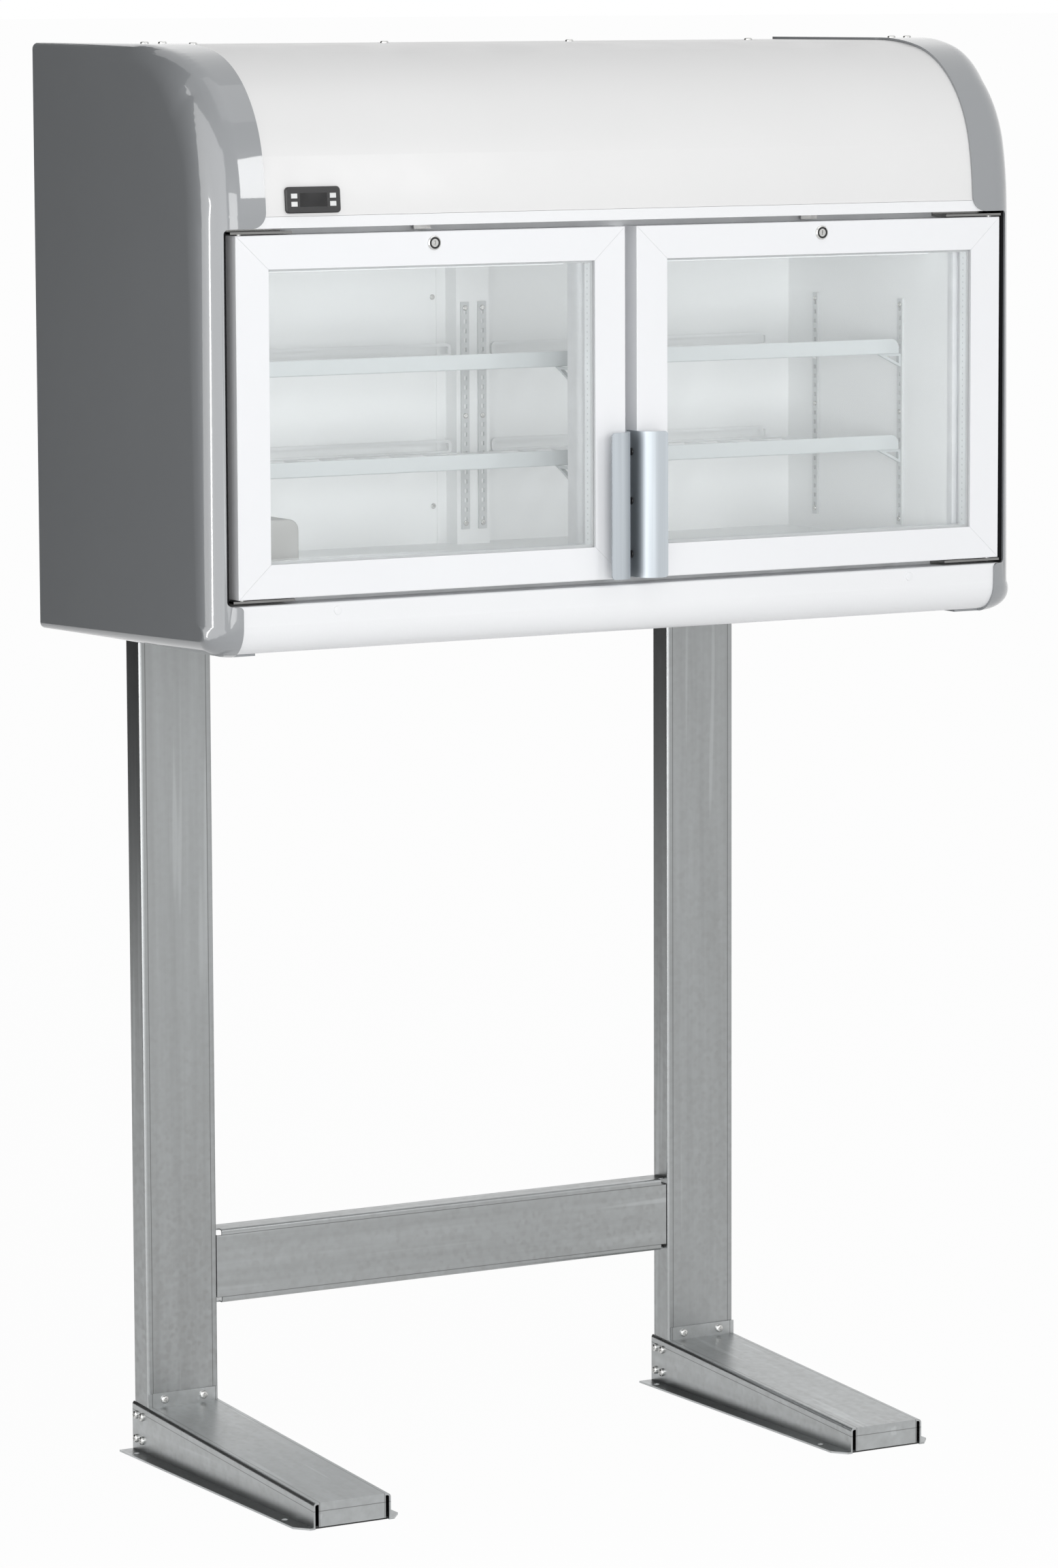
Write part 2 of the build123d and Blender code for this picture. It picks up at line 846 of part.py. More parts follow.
condenser_height = unit_height - condenser_drop
with BuildPart() as condenser:
    with Locations((condenser_x, unit_y, deck_z + condenser_height / 2)):
        Box(condenser_length, condenser_depth, condenser_height)
        with GridLocations(condenser_length, condenser_depth / condenser_fins, 1, condenser_fins - 1):
            Box(
                2 * condenser_length,
                condenser_fin_gap,
                condenser_height - 2 * condenser_header,
                mode=Mode.SUBTRACT,
            )
finish(condenser, "condenser")

shroud_x = condenser_x + condenser_length / 2
fan_x = shroud_x + fan_setback
shroud_size = unit_height - shroud_drop
fan_z = deck_z + shroud_size / 2
fan_reach = shroud_size / 2 - shroud_rim - fan_tip_gap
with BuildPart() as fan_shroud:
    with BuildSketch(Plane.YZ.offset(shroud_x)):
        with Locations((unit_y, fan_z)):
            Rectangle(shroud_size, shroud_size)
            Circle(fan_reach + fan_tip_gap, mode=Mode.SUBTRACT)
    extrude(amount=shroud_length)
finish(fan_shroud, "fan_shroud")

motor_x = fan_x + fan_hub_length / 2 + motor_gap
with BuildPart() as fan_motor:
    with BuildSketch(Plane.YZ.offset(motor_x)):
        with Locations((unit_y, fan_z)):
            Circle(motor_diameter / 2)
    extrude(amount=motor_length)
    with BuildSketch(Plane.YZ.offset(fan_x - fan_hub_length / 2)):
        with Locations((unit_y, fan_z)):
            Circle(motor_shaft_diameter / 2)
    extrude(amount=fan_hub_length + motor_gap)
    block(
        motor_x + (motor_length - motor_foot_length) / 2,
        motor_x + (motor_length + motor_foot_length) / 2,
        unit_y - motor_foot_width / 2,
        unit_y + motor_foot_width / 2,
        deck_z,
        fan_z - motor_diameter / 3,
    )
finish(fan_motor, "fan_motor")

with BuildPart() as fan_blade:
    blade_length = fan_reach - fan_hub_diameter / 4
    with Locations(Location((fan_x, unit_y, fan_z), (0, 90, 0))):
        Cylinder(fan_hub_diameter / 2, fan_hub_length)
        with PolarLocations(fan_hub_diameter / 4, fan_blades):
            with Locations(Rotation(fan_blade_pitch, 0, 0)):
                Box(
                    blade_length,
                    fan_blade_width,
                    fan_blade_sheet,
                    align=(Align.MIN, Align.CENTER, Align.CENTER),
                )
        Cylinder(motor_shaft_diameter / 2 + pivot_clearance, 2 * fan_hub_length, mode=Mode.SUBTRACT)
finish(fan_blade, "fan_blade")

control_box_x = -half_width + control_box_inset
with BuildPart() as control_box:
    with Locations((control_box_x, unit_y, deck_z + control_box_height / 2)):
        Box(control_box_width, control_box_depth, control_box_height)
    fillet(control_box.edges().filter_by(Axis.Z), radius=control_box_radius)
finish(control_box, "control_box")

# Controller on the canopy: bezel and body in one, window and four keys
bezel_plane = controller_plane.offset(controller_bezel)
with BuildPart() as controller:
    with BuildSketch(controller_plane):
        RectangleRounded(controller_width, controller_height, controller_corner_radius)
    extrude(amount=controller_bezel)
    chamfer(controller.faces().sort_by(Axis.Y)[0].edges(), length=controller_chamfer)
    with BuildSketch(controller_plane):
        Rectangle(controller_body_width, controller_body_height)
    extrude(amount=-controller_body_depth)
    with BuildSketch(bezel_plane):
        Rectangle(window_width, window_height)
    extrude(amount=-window_depth, mode=Mode.SUBTRACT)
    with BuildSketch(bezel_plane):
        with GridLocations(button_spacing_x, button_spacing_y, 2, 2):
            Rectangle(button_width + 2 * button_gap, button_height + 2 * button_gap)
    extrude(amount=-button_well, mode=Mode.SUBTRACT)
finish(controller, "controller")

with BuildPart() as controller_window:
    with BuildSketch(bezel_plane):
        Rectangle(window_width, window_height)
    extrude(amount=-window_depth)
finish(controller_window, "controller_window")

for row, across, up in (
    ("upper_left", -1, 1),
    ("upper_right", 1, 1),
    ("lower_left", -1, -1),
    ("lower_right", 1, -1),
):
    with BuildPart() as button:
        with BuildSketch(bezel_plane.offset(button_proud)):
            with Locations((across * button_spacing_x / 2, up * button_spacing_y / 2)):
                Rectangle(button_width, button_height)
        extrude(amount=-button_depth)
        fillet(button.faces().sort_by(Axis.Y)[0].edges(), radius=button_edge_radius)
    finish(button, f"{row}_button")

# Doors: mitred frame, double glazing, seal, bowed handle and lock, drawn for the right
opening_x0 = door_x0 + stile_width
opening_x1 = door_x1 - stile_width
opening_z0 = door_z0 + rail_width
opening_z1 = door_z1 - rail_width
hinge_x = door_x1 - hinge_edge
hinge_y = door_front_y + hinge_setback
lock_z = door_z1 - lock_drop


def ring(x0, x1, z0, z1, width, y0, y1):
    """A flat rectangular ring standing in the door, measured inward from its outer edges."""
    with BuildPart() as piece:
        block(x0, x1, y0, y1, z0, z1)
        block(x0 + width, x1 - width, y0, y1, z0 + width, z1 - width, mode=Mode.SUBTRACT)
    return piece


def rod(x, y0, y1, z, diameter, mode=Mode.ADD):
    """A round bar along Y, for use inside a part."""
    with Locations(Location((x, (y0 + y1) / 2, z), (90, 0, 0))):
        return Cylinder(diameter / 2, y1 - y0, mode=mode)


with BuildPart() as right_door_frame:
    block(door_x0, door_x1, door_front_y, door_rear_y, door_z0, door_z1)
    chamfer(right_door_frame.faces().sort_by(Axis.Y)[0].edges(), length=door_edge_chamfer)
    block(
        opening_x0,
        opening_x1,
        door_front_y,
        door_rear_y,
        opening_z0,
        opening_z1,
        mode=Mode.SUBTRACT,
    )
    block(
        opening_x0 - glazing_rebate,
        opening_x1 + glazing_rebate,
        door_front_y + glazing_lip,
        door_front_y + glazing_lip + 2 * glass_pane + glass_cavity,
        opening_z0 - glazing_rebate,
        opening_z1 + glazing_rebate,
        mode=Mode.SUBTRACT,
    )
    with Locations((hinge_x, hinge_y, door_z0), (hinge_x, hinge_y, door_z1)):
        Cylinder(
            hinge_pin_diameter / 2 + pivot_clearance,
            2 * (hinge_pin_engagement + hinge_pin_end_gap),
            mode=Mode.SUBTRACT,
        )
    rod(door_mid_x, door_front_y, door_rear_y, lock_z, lock_barrel_diameter, Mode.SUBTRACT)
    for corner_x, inner_x in ((door_x0, opening_x0), (door_x1, opening_x1)):
        for corner_z, inner_z in ((door_z0, opening_z0), (door_z1, opening_z1)):
            with BuildSketch(Plane.XZ.offset(-door_front_y)):
                with BuildLine():
                    run_x = mitre_overrun * (inner_x - corner_x)
                    run_z = mitre_overrun * (inner_z - corner_z)
                    Line((corner_x - run_x, corner_z - run_z), (inner_x + run_x, inner_z + run_z))
                trace(line_width=mitre_seam)
            extrude(amount=-door_thickness, mode=Mode.SUBTRACT)

glass_y0 = door_front_y + glazing_lip
glass_y1 = glass_y0 + glass_pane + glass_cavity
glass_edge = glazing_rebate - seam
with BuildPart() as right_glass:
    for pane_y in (glass_y0, glass_y1):
        block(
            opening_x0 - glass_edge,
            opening_x1 + glass_edge,
            pane_y,
            pane_y + glass_pane,
            opening_z0 - glass_edge,
            opening_z1 + glass_edge,
        )

right_glass_spacer = ring(
    opening_x0 - glass_edge,
    opening_x1 + glass_edge,
    opening_z0 - glass_edge,
    opening_z1 + glass_edge,
    spacer_width,
    glass_y0 + glass_pane,
    glass_y1,
)

right_door_gasket = ring(
    door_x0 + gasket_inset,
    door_x1 - gasket_inset,
    door_z0 + gasket_inset,
    door_z1 - gasket_inset,
    gasket_width,
    door_rear_y,
    frame_face_y - fit_gap,
)


def handle_skin():
    """Outer skin of the handle seen from above: leg, convex bow and flat lip."""
    leg_x = door_x0 - handle_sheet
    lip_y = door_front_y - handle_reach
    Line((leg_x, door_front_y + handle_leg), (leg_x, lip_y + handle_bow_radius))
    bow = JernArc((leg_x, lip_y + handle_bow_radius), (0, -1), handle_bow_radius, 90)
    Line(bow @ 1, (leg_x + handle_bow_radius + handle_lip, lip_y))


handle_z0 = door_z0 + handle_rise
with BuildPart() as right_handle:
    handle_base = Plane.XY.offset(handle_z0)
    extrude(sheet_section(handle_base, Side.LEFT, handle_sheet, handle_skin), amount=handle_height)
    fillet(
        right_handle.edges().filter_by(Axis.Y).group_by(Axis.X)[-1],
        radius=handle_corner_radius,
    )

with BuildPart() as right_lock_body:
    rod(door_mid_x, door_front_y - lock_ring_height, door_front_y, lock_z, lock_ring_diameter)
    chamfer(right_lock_body.edges().sort_by(Axis.Y)[0], length=lock_ring_chamfer)
    rod(door_mid_x, door_front_y, door_rear_y, lock_z, lock_barrel_diameter)
    rod(
        door_mid_x,
        door_front_y - lock_ring_height,
        door_rear_y,
        lock_z,
        lock_plug_diameter + 2 * pivot_clearance,
        Mode.SUBTRACT,
    )

cam_y = door_rear_y + lock_cam_air
with BuildPart() as right_lock_plug:
    rod(
        door_mid_x,
        door_front_y - lock_ring_height + fit_gap,
        cam_y + lock_cam_sheet,
        lock_z,
        lock_plug_diameter,
    )
    with BuildSketch(Plane.XZ.offset(-cam_y)):
        with Locations((door_mid_x + lock_cam_length / 2, lock_z)):
            SlotOverall(lock_cam_length + lock_cam_width, lock_cam_width)
    extrude(amount=-lock_cam_sheet)
    block(
        door_mid_x - lock_keyway_width / 2,
        door_mid_x + lock_keyway_width / 2,
        door_front_y - lock_ring_height,
        door_front_y,
        lock_z - lock_keyway / 2,
        lock_z + lock_keyway / 2,
        mode=Mode.SUBTRACT,
    )

# Hinge brackets above and below the door's outer corner, and the keeper for the lock's cam
with BuildPart() as right_hinges:
    plate_z = door_z1 + hinge_air
    plate_x1 = door_x1 + hinge_plate_overhang
    block(
        plate_x1 - hinge_plate_length,
        plate_x1,
        hinge_y - hinge_plate_nose,
        frame_face_y,
        plate_z,
        plate_z + hinge_plate,
    )
    block(
        plate_x1 - hinge_plate_length,
        plate_x1,
        frame_face_y - hinge_plate,
        frame_face_y,
        plate_z,
        plate_z + hinge_leg,
    )
    with Locations((hinge_x, hinge_y, plate_z + hinge_plate)):
        Cylinder(
            hinge_pin_diameter / 2,
            hinge_plate + hinge_air + hinge_pin_engagement,
            align=(Align.CENTER, Align.CENTER, Align.MAX),
        )
    mirror(about=Plane.XY.offset(door_mid_z))

with BuildPart() as lock_keepers:
    for side in (-1, 1):
        block(
            side * door_mid_x - lock_cam_width,
            side * door_mid_x + lock_cam_width,
            door_rear_y - lock_cam_sheet - seam,
            door_rear_y - seam,
            door_z1 + lock_cam_sheet,
            strip_z1 - strip_sheet,
        )
finish(lock_keepers, "lock_keepers")

for name, piece in (
    ("hinges", right_hinges),
    ("door_frame", right_door_frame),
    ("glass", right_glass),
    ("glass_spacer", right_glass_spacer),
    ("door_gasket", right_door_gasket),
    ("handle", right_handle),
    ("lock_body", right_lock_body),
    ("lock_plug", right_lock_plug),
):
    finish(piece, f"right_{name}")
    finish(mirrored(piece), f"left_{name}")

# Stand: folded posts behind the cabinet, a cross bar and two wedge-shaped feet
post_centre_x = half_width - post_side_inset
post_inner_x = post_centre_x - post_width / 2
post_top_z = base_z + post_overlap


def post_skin():
    """Outer skin of the right-hand post seen from above, open towards the wall."""
    FilletPolyline(
        (post_inner_x + post_lip, rear_y + post_depth),
        (post_inner_x, rear_y + post_depth),
        (post_inner_x, rear_y),
        (post_inner_x + post_width, rear_y),
        (post_inner_x + post_width, rear_y + post_depth),
        (post_inner_x + post_width - post_lip, rear_y + post_depth),
        radius=post_fold_radius,
    )


def stud_places(x):
    """Where the studs that carry the cabinet stand, on the rear plane of the post at x."""
    places = []
    for rise in stud_rises:
        for across in (-1, 1):
            places.append((x + across * stud_spacing / 2, base_z + rise))
    return places


with BuildPart() as right_post:
    extrude(sheet_section(Plane.XY, Side.LEFT, post_sheet, post_skin), amount=post_top_z)
    for stud_x, stud_z in stud_places(post_centre_x):
        rod(
            stud_x,
            rear_y - seam,
            rear_y + post_sheet + seam,
            stud_z,
            stud_diameter + 2 * stud_hole_clearance,
            Mode.SUBTRACT,
        )
finish(right_post, "right_post")
finish(mirrored(right_post), "left_post")

with BuildPart() as hanging_studs:
    for stud_x, stud_z in stud_places(-post_centre_x) + stud_places(post_centre_x):
        rod(stud_x, rear_skin_y, rear_y, stud_z, stud_washer_diameter)
        rod(stud_x, rear_y, rear_y + post_sheet + 2 * stud_nut_height, stud_z, stud_diameter)
        with BuildSketch(Plane.XZ.offset(-rear_y - post_sheet)):
            with Locations((stud_x, stud_z)):
                RegularPolygon(stud_nut_width / 2, 6, major_radius=False)
        extrude(amount=-stud_nut_height)
finish(hanging_studs, "hanging_studs")

bar_half = post_inner_x - bar_end_gap
bar_y0 = rear_y + bar_setback
bar_y1 = bar_y0 + bar_depth


def bar_skin():
    """Outer skin of the cross bar's channel, open towards the wall."""
    FilletPolyline(
        (bar_y1, bar_rise + bar_height),
        (bar_y0, bar_rise + bar_height),
        (bar_y0, bar_rise),
        (bar_y1, bar_rise),
        radius=bar_fold_radius,
    )


with BuildPart() as cross_bar:
    extrude(
        sheet_section(Plane.YZ.offset(-bar_half), Side.LEFT, bar_sheet, bar_skin),
        amount=2 * bar_half,
    )
    for side in (-1, 1):
        for corner_z in (bar_rise, bar_rise + bar_height):
            with Locations((side * bar_half, bar_y0, corner_z)):
                Box(2 * bar_notch, 2 * bar_notch, 2 * bar_notch, mode=Mode.SUBTRACT)
        block(
            side * (bar_half - bar_sheet),
            side * bar_half,
            bar_y0,
            bar_y1,
            bar_rise + bar_notch,
            bar_rise + bar_height - bar_notch,
        )
        block(
            side * bar_half,
            side * post_inner_x,
            bar_y0 + bar_notch,
            bar_y1,
            bar_rise + bar_notch,
            bar_rise + bar_height - bar_notch,
        )
finish(cross_bar, "cross_bar")

foot_front_y = rear_y - foot_reach
foot_rear_y = rear_y + post_depth
foot_slope = (foot_post_height - foot_front_height) / foot_reach
foot_rear_height = foot_post_height + foot_slope * post_depth
cheek_inner = post_width / 2 + fit_gap
cheek_outer = cheek_inner + foot_sheet


def foot_wedge(half, lower, past):
    """The wedge under the foot's top sheet, set lower by a sheet and run past both ends."""
    with BuildPart() as wedge:
        with BuildSketch(Plane.YZ.offset(post_centre_x - half)):
            with BuildLine():
                Polyline(
                    (foot_front_y - past, -lower),
                    (foot_rear_y + past, -lower),
                    (foot_rear_y + past, foot_rear_height + foot_slope * past - lower),
                    (foot_front_y - past, foot_front_height - foot_slope * past - lower),
                    close=True,
                )
            make_face()
        extrude(amount=2 * half)
        ridges = [wedge.faces().sort_by(Axis.X)[end].edges().sort_by(Axis.Z)[-1] for end in (0, -1)]
        fillet(ridges, radius=foot_fold_radius - lower)
    return wedge.part


with BuildPart() as right_foot:
    add(foot_wedge(cheek_outer, 0, 0))
    add(foot_wedge(cheek_inner, foot_sheet, seam), mode=Mode.SUBTRACT)
    block(
        post_centre_x - cheek_inner,
        post_centre_x + cheek_inner,
        rear_y,
        foot_rear_y,
        0,
        foot_rear_height,
        mode=Mode.SUBTRACT,
    )
    block(
        post_centre_x - post_width / 2 + post_fold_radius,
        post_centre_x + post_width / 2,
        rear_y - foot_sheet,
        rear_y,
        foot_post_height - 1.5 * foot_sheet,
        foot_post_height + foot_upstand,
    )
    block(
        post_centre_x - cheek_inner + foot_nose_slot,
        post_centre_x + cheek_inner - foot_nose_slot,
        foot_front_y,
        foot_front_y + foot_sheet,
        foot_nose_air,
        foot_front_height - foot_sheet / 2,
    )
    for side in (-1, 1):
        with BuildSketch(Plane.XY):
            with BuildLine():
                Polyline(
                    (post_centre_x + side * cheek_inner, foot_front_y),
                    (post_centre_x + side * (cheek_outer + foot_flange / 4), foot_front_y),
                    (post_centre_x + side * (cheek_outer + foot_flange), foot_front_y + foot_flange_chamfer),
                    (post_centre_x + side * (cheek_outer + foot_flange), foot_rear_y),
                    (post_centre_x + side * cheek_inner, foot_rear_y),
                    close=True,
                )
            make_face()
            for hole_y in (foot_front_y + floor_hole_front_inset, foot_rear_y - floor_hole_rear_inset):
                with Locations((post_centre_x + side * (cheek_outer + foot_flange / 2), hole_y)):
                    Circle(floor_hole_diameter / 2, mode=Mode.SUBTRACT)
        extrude(amount=foot_sheet)
finish(right_foot, "right_foot")
finish(mirrored(right_foot), "left_foot")

with BuildPart() as dome:
    Cylinder(screw_diameter / 2, screw_height, align=(Align.CENTER, Align.CENTER, Align.MIN))
    chamfer(dome.edges().sort_by(Axis.Z)[-1], length=screw_chamfer)

upstand_z = foot_post_height + foot_upstand / 2
with BuildPart() as stand_screws:
    for side in (-1, 1):
        for across in (-1, 1):
            front_x = side * post_centre_x + across * screw_spacing_front / 2
            seat = Plane((front_x, rear_y - foot_sheet, upstand_z), (1, 0, 0), (0, -1, 0))
            add(dome.part.moved(seat.location))
            cheek_x = side * post_centre_x + across * cheek_outer
            for rise in screw_rises:
                for back in (-1, 1):
                    cheek_y = rear_y + (post_depth + back * screw_spacing_side) / 2
                    seat = Plane((cheek_x, cheek_y, rise), (0, 1, 0), (across, 0, 0))
                    add(dome.part.moved(seat.location))
finish(stand_screws, "stand_screws")
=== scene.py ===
import math

import bmesh
import bpy
import numpy
from bpy.props import FloatProperty, FloatVectorProperty, IntProperty, PointerProperty
from mathutils import Matrix, Vector
from mathutils.geometry import convex_hull_2d


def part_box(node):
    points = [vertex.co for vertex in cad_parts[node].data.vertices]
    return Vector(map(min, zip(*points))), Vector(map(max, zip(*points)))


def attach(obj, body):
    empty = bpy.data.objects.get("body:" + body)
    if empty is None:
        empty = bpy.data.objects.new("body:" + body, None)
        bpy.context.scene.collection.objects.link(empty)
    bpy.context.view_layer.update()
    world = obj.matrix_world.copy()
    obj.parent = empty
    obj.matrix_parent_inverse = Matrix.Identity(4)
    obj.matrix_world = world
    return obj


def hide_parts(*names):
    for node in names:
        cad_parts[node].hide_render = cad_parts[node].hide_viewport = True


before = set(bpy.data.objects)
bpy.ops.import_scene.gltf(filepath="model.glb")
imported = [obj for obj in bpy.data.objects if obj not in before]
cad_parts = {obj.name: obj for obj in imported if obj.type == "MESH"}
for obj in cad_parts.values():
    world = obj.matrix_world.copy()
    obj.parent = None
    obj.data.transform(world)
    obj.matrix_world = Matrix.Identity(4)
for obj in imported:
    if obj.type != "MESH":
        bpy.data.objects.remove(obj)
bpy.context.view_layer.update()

bl_info = {
    "name": "Display freezer dressing",
    "version": (1, 0, 0),
    "blender": (4, 5, 0),
    "location": "View3D > Sidebar > Freezer",
    "description": "Finishes, fasteners, trims and studio for a display freezer on a stand",
    "category": "Object",
}


# Settings that a user would change


def colour_setting(name, description, default):
    """A colour shown as a swatch in the panel."""
    return FloatVectorProperty(
        name=name, description=description, subtype="COLOR", size=3, min=0.0, max=1.0, default=default
    )


def length_setting(name, description, default):
    """A length in metres."""
    return FloatProperty(
        name=name, description=description, unit="LENGTH", precision=4, min=0.0, default=default
    )


def angle_setting(name, description, degrees):
    """An angle given in degrees."""
    return FloatProperty(
        name=name, description=description, subtype="ANGLE", default=math.radians(degrees)
    )


def power_setting(name, description, default):
    """A lamp's power in watts."""
    return FloatProperty(name=name, description=description, unit="POWER", default=default)


class FreezerFinishes(bpy.types.PropertyGroup):
    """Colours of the freezer's finishes"""

    cover_grey: colour_setting("Cover grey", "Moulded side covers", (0.30, 0.312, 0.325))
    canopy_white: colour_setting("Canopy white", "Painted canopy and roof", (0.785, 0.785, 0.785))
    fascia_white: colour_setting("Fascia white", "Header strip and lower fascia", (0.86, 0.87, 0.885))
    door_white: colour_setting("Door white", "Powder-coated door frames", (0.86, 0.87, 0.89))
    liner_white: colour_setting("Liner white", "Walls of the cold compartment", (0.935, 0.95, 0.953))
    shelf_white: colour_setting("Shelf white", "Trays and stops of the shelves", (0.90, 0.915, 0.92))
    # The lips' grey is painted shade: it makes them read as lit less than the walls.
    lip_shaded_white: colour_setting("Lip shaded white", "Front lips of the shelves", (0.66, 0.70, 0.71))
    frame_white: colour_setting("Frame white", "Surround that the doors close on", (0.885, 0.90, 0.915))
    seal_blue: colour_setting("Seal blue", "Magnetic door seals", (0.62, 0.72, 0.84))
    zinc: colour_setting("Zinc", "Galvanised sheet of the stand", (0.40, 0.415, 0.42))
    zinc_dark: colour_setting("Dark zinc", "Dull patches of the zinc", (0.31, 0.315, 0.312))
    handle_silver: colour_setting("Handle silver", "Anodised pull handles", (0.47, 0.505, 0.535))
    steel: colour_setting("Steel", "Hinges, locks and screws", (0.62, 0.62, 0.61))
    black: colour_setting("Black", "Controller, gap shade strips, foot shade sheets and handle screws", (0.006, 0.006, 0.007))


class FreezerSizes(bpy.types.PropertyGroup):
    """Sizes of the small pieces added to the freezer"""

    cover_bend: length_setting("Cover bend", "Rounding of the CAD covers", 0.024)
    cover_across: length_setting("Cover across", "Drawn-out rounding across the front", 0.044)
    cover_reach: length_setting("Cover reach", "Rounding along the side at the front", 0.064)
    cover_rear: length_setting("Cover rear", "Rounding at the rear ends of the top and bottom", 0.008)
    cover_toe_reach: length_setting("Cover toe reach", "Rounding along the side at the toe", 0.016)
    cover_low: length_setting("Cover low", "Height where the rounding starts to grow", 1.09)
    roof_screw_radius: length_setting("Roof screw radius", "Screws of the roof sheet", 0.0055)
    roof_screw_height: length_setting("Roof screw height", "Screws of the roof sheet", 0.0028)
    handle_screw_radius: length_setting("Handle screw radius", "Screws of the handle legs", 0.0048)
    handle_screw_height: length_setting("Handle screw height", "Screws of the handle legs", 0.0020)
    strip_screw_radius: length_setting("Strip screw radius", "Screws of the shelf strips", 0.0036)
    strip_screw_height: length_setting("Strip screw height", "Screws of the shelf strips", 0.0014)
    plug_radius: length_setting("Plug radius", "Cover plugs of the lower fascia", 0.0055)
    plug_height: length_setting("Plug height", "Cover plugs of the lower fascia", 0.0012)
    shade_sheet_thickness: length_setting("Shade sheet thickness", "Black sheets of painted shade inside the feet", 0.004)
    gap_shade_thickness: length_setting("Gap shade thickness", "Black painted shade beside the doors", 0.0048)
    strip_pitch: length_setting("Slot pitch", "Slots of the shelf strips", 0.0125)
    strip_slot: length_setting("Slot height", "Slots of the shelf strips", 0.0055)
    strip_slots: IntProperty(name="Slots", description="Slots in each shelf strip", min=3, default=23)


class FreezerStudio(bpy.types.PropertyGroup):
    """Camera and lamps of the studio"""

    camera_place: FloatVectorProperty(
        name="Camera place", description="Where the camera stands", subtype="TRANSLATION",
        unit="LENGTH", size=3, default=(-4.0851, -7.0746, 1.9308),
    )
    camera_turn: angle_setting("Camera turn", "Turn about the upright", 29.971)
    camera_tilt: angle_setting("Camera tilt", "Tilt above the level", -7.215)
    camera_roll: angle_setting("Camera roll", "Roll about the view", -0.226)
    lens: FloatProperty(name="Lens", description="Focal length", unit="CAMERA", min=1.0, default=143.47)
    front_power: power_setting("Front power", "Wide soft box in front", 62.0)
    side_power: power_setting("Side power", "Strip box at the left", 6.5)
    wall_power: power_setting("Wall power", "Sheen of the left wall", 172.0)
    key_power: power_setting("Key power", "Small box at the right", 14.0)
    fill_power: power_setting("Inside fill", "Light on the liner alone", 7.5)
    top_power: power_setting("Top power", "Soft box overhead", 10.0)
    ambient: FloatProperty(
        name="Ambient", description="Level of the room's even light", min=0.0, default=0.58
    )


# Where the small pieces sit and how the covers' rounding grows, in metres

COVER_RINGS = 4
COVER_GROWTH = 0.10
COVER_FRONT_HOLD = 0.06
ROOF_SCREW_X = (-0.42, -0.14, 0.14, 0.42)
ROOF_SCREW_FROM_REAR = 0.097
CROWN_SCREW_X = (0.545, 0.570)
CROWN_SCREW_Y = -0.0245
CROWN_SCREW_SINK = 0.0005
PLUG_X = (-0.425, 0.425)
PLUG_BELOW_TOP = 0.011
HANDLE_SCREW_Z = (1.219, 1.287, 1.350)
HANDLE_SCREW_FROM_REAR = 0.011
SHADE_SHEET_FRONT_GAP = 0.003
SHADE_SHEET_REAR_GAP = 0.002
# The black strips in the door gaps stand for the gap's shadow: painted shade.
GAP_SHADE_LIP_X = 0.577
GAP_SHADE_BEHIND_COVER = 0.011
GAP_SHADE_PAST_DOOR = 0.007
GAP_SHADE_DOOR_GAP = 0.0015
STRIP_SLOT_SHARE = 0.36
STRIP_SCREW_RISES = (-0.143, 0.0, 0.143)
WALL_RIVET_X = -0.0445
WALL_RIVET_Z = (1.253, 1.531)

# Fold lines of the zinc sheets: how far they lie inside the edges, and the wedge's own slope

POST_FOLD_INSET = 0.0085
BAR_FOLD_INSET = 0.008
FOOT_FOLD_INSET = 0.006
FOOT_WEDGE_AXIS = (0.0, -0.0641, 1.0)
FOOT_WEDGE_HALF = 0.0385

# Patterns of the finishes: where each starts and ends, in metres or as a share of the width

FOLD_LINE_EDGE = (0.0007, 0.0003)
# Where the painted shade on the shelf lips fades out behind their front.
SHELF_LIP_SHADE = (0.012, 0.045)
LAMP_FRONT_EDGE = (0.001, 0.002)
SPACER_SEALANT = (0.88, 0.91)
SPACER_HOLE_BAND = (0.16, 0.12)
SPACER_HOLE_EDGE = (0.0012, 0.0009)
SPACER_HALF_PITCH = 0.004
LOCK_RING_RADIUS = 0.0062
LOCK_RING_HALF = 0.0012

# Studio floor: its side in metres, and the share of plain white in what shows of it

FLOOR_SIDE = 900.0
FLOOR_WHITE = 0.96


# Mesh work


def clear_selection():
    """Leave object mode with nothing selected."""
    if bpy.context.mode != "OBJECT":
        bpy.ops.object.mode_set(mode="OBJECT")
    bpy.ops.object.select_all(action="DESELECT")


def activate(piece):
    """Make one object the only selected and active one, in object mode."""
    clear_selection()
    piece.select_set(True)
    bpy.context.view_layer.objects.active = piece


def choose(piece, kind, test):
    """In edit mode, select the faces or edges that pass a test."""
    bpy.ops.mesh.select_mode(type=kind)
    bpy.ops.mesh.select_all(action="DESELECT")
    mesh = bmesh.from_edit_mesh(piece.data)
    for item in {"FACE": mesh.faces, "EDGE": mesh.edges}[kind]:
        if test(item):
            item.select_set(True)
    mesh.select_flush_mode()
    bmesh.update_edit_mesh(piece.data)


def settle(piece, name):
    """Name a piece and put its place into its mesh."""
    activate(piece)
    bpy.ops.object.transform_apply(location=True, rotation=True, scale=True)
    piece.name = name
    piece.data.name = name
    return piece


def slab(name, low, high):
    """A box between two corners, as a start for shaping."""
    clear_selection()
    low = Vector(low)
    high = Vector(high)
    bpy.ops.mesh.primitive_cube_add(size=1.0, location=(low + high) / 2, scale=high - low)
    return settle(bpy.context.object, name)


def disc(name, vertices, radius, height):
    """A short cylinder that stands on the floor plane, as a start for shaping."""
    clear_selection()
    bpy.ops.mesh.primitive_cylinder_add(
        vertices=vertices, radius=radius, depth=height, location=(0, 0, height / 2)
    )
    return settle(bpy.context.object, name)


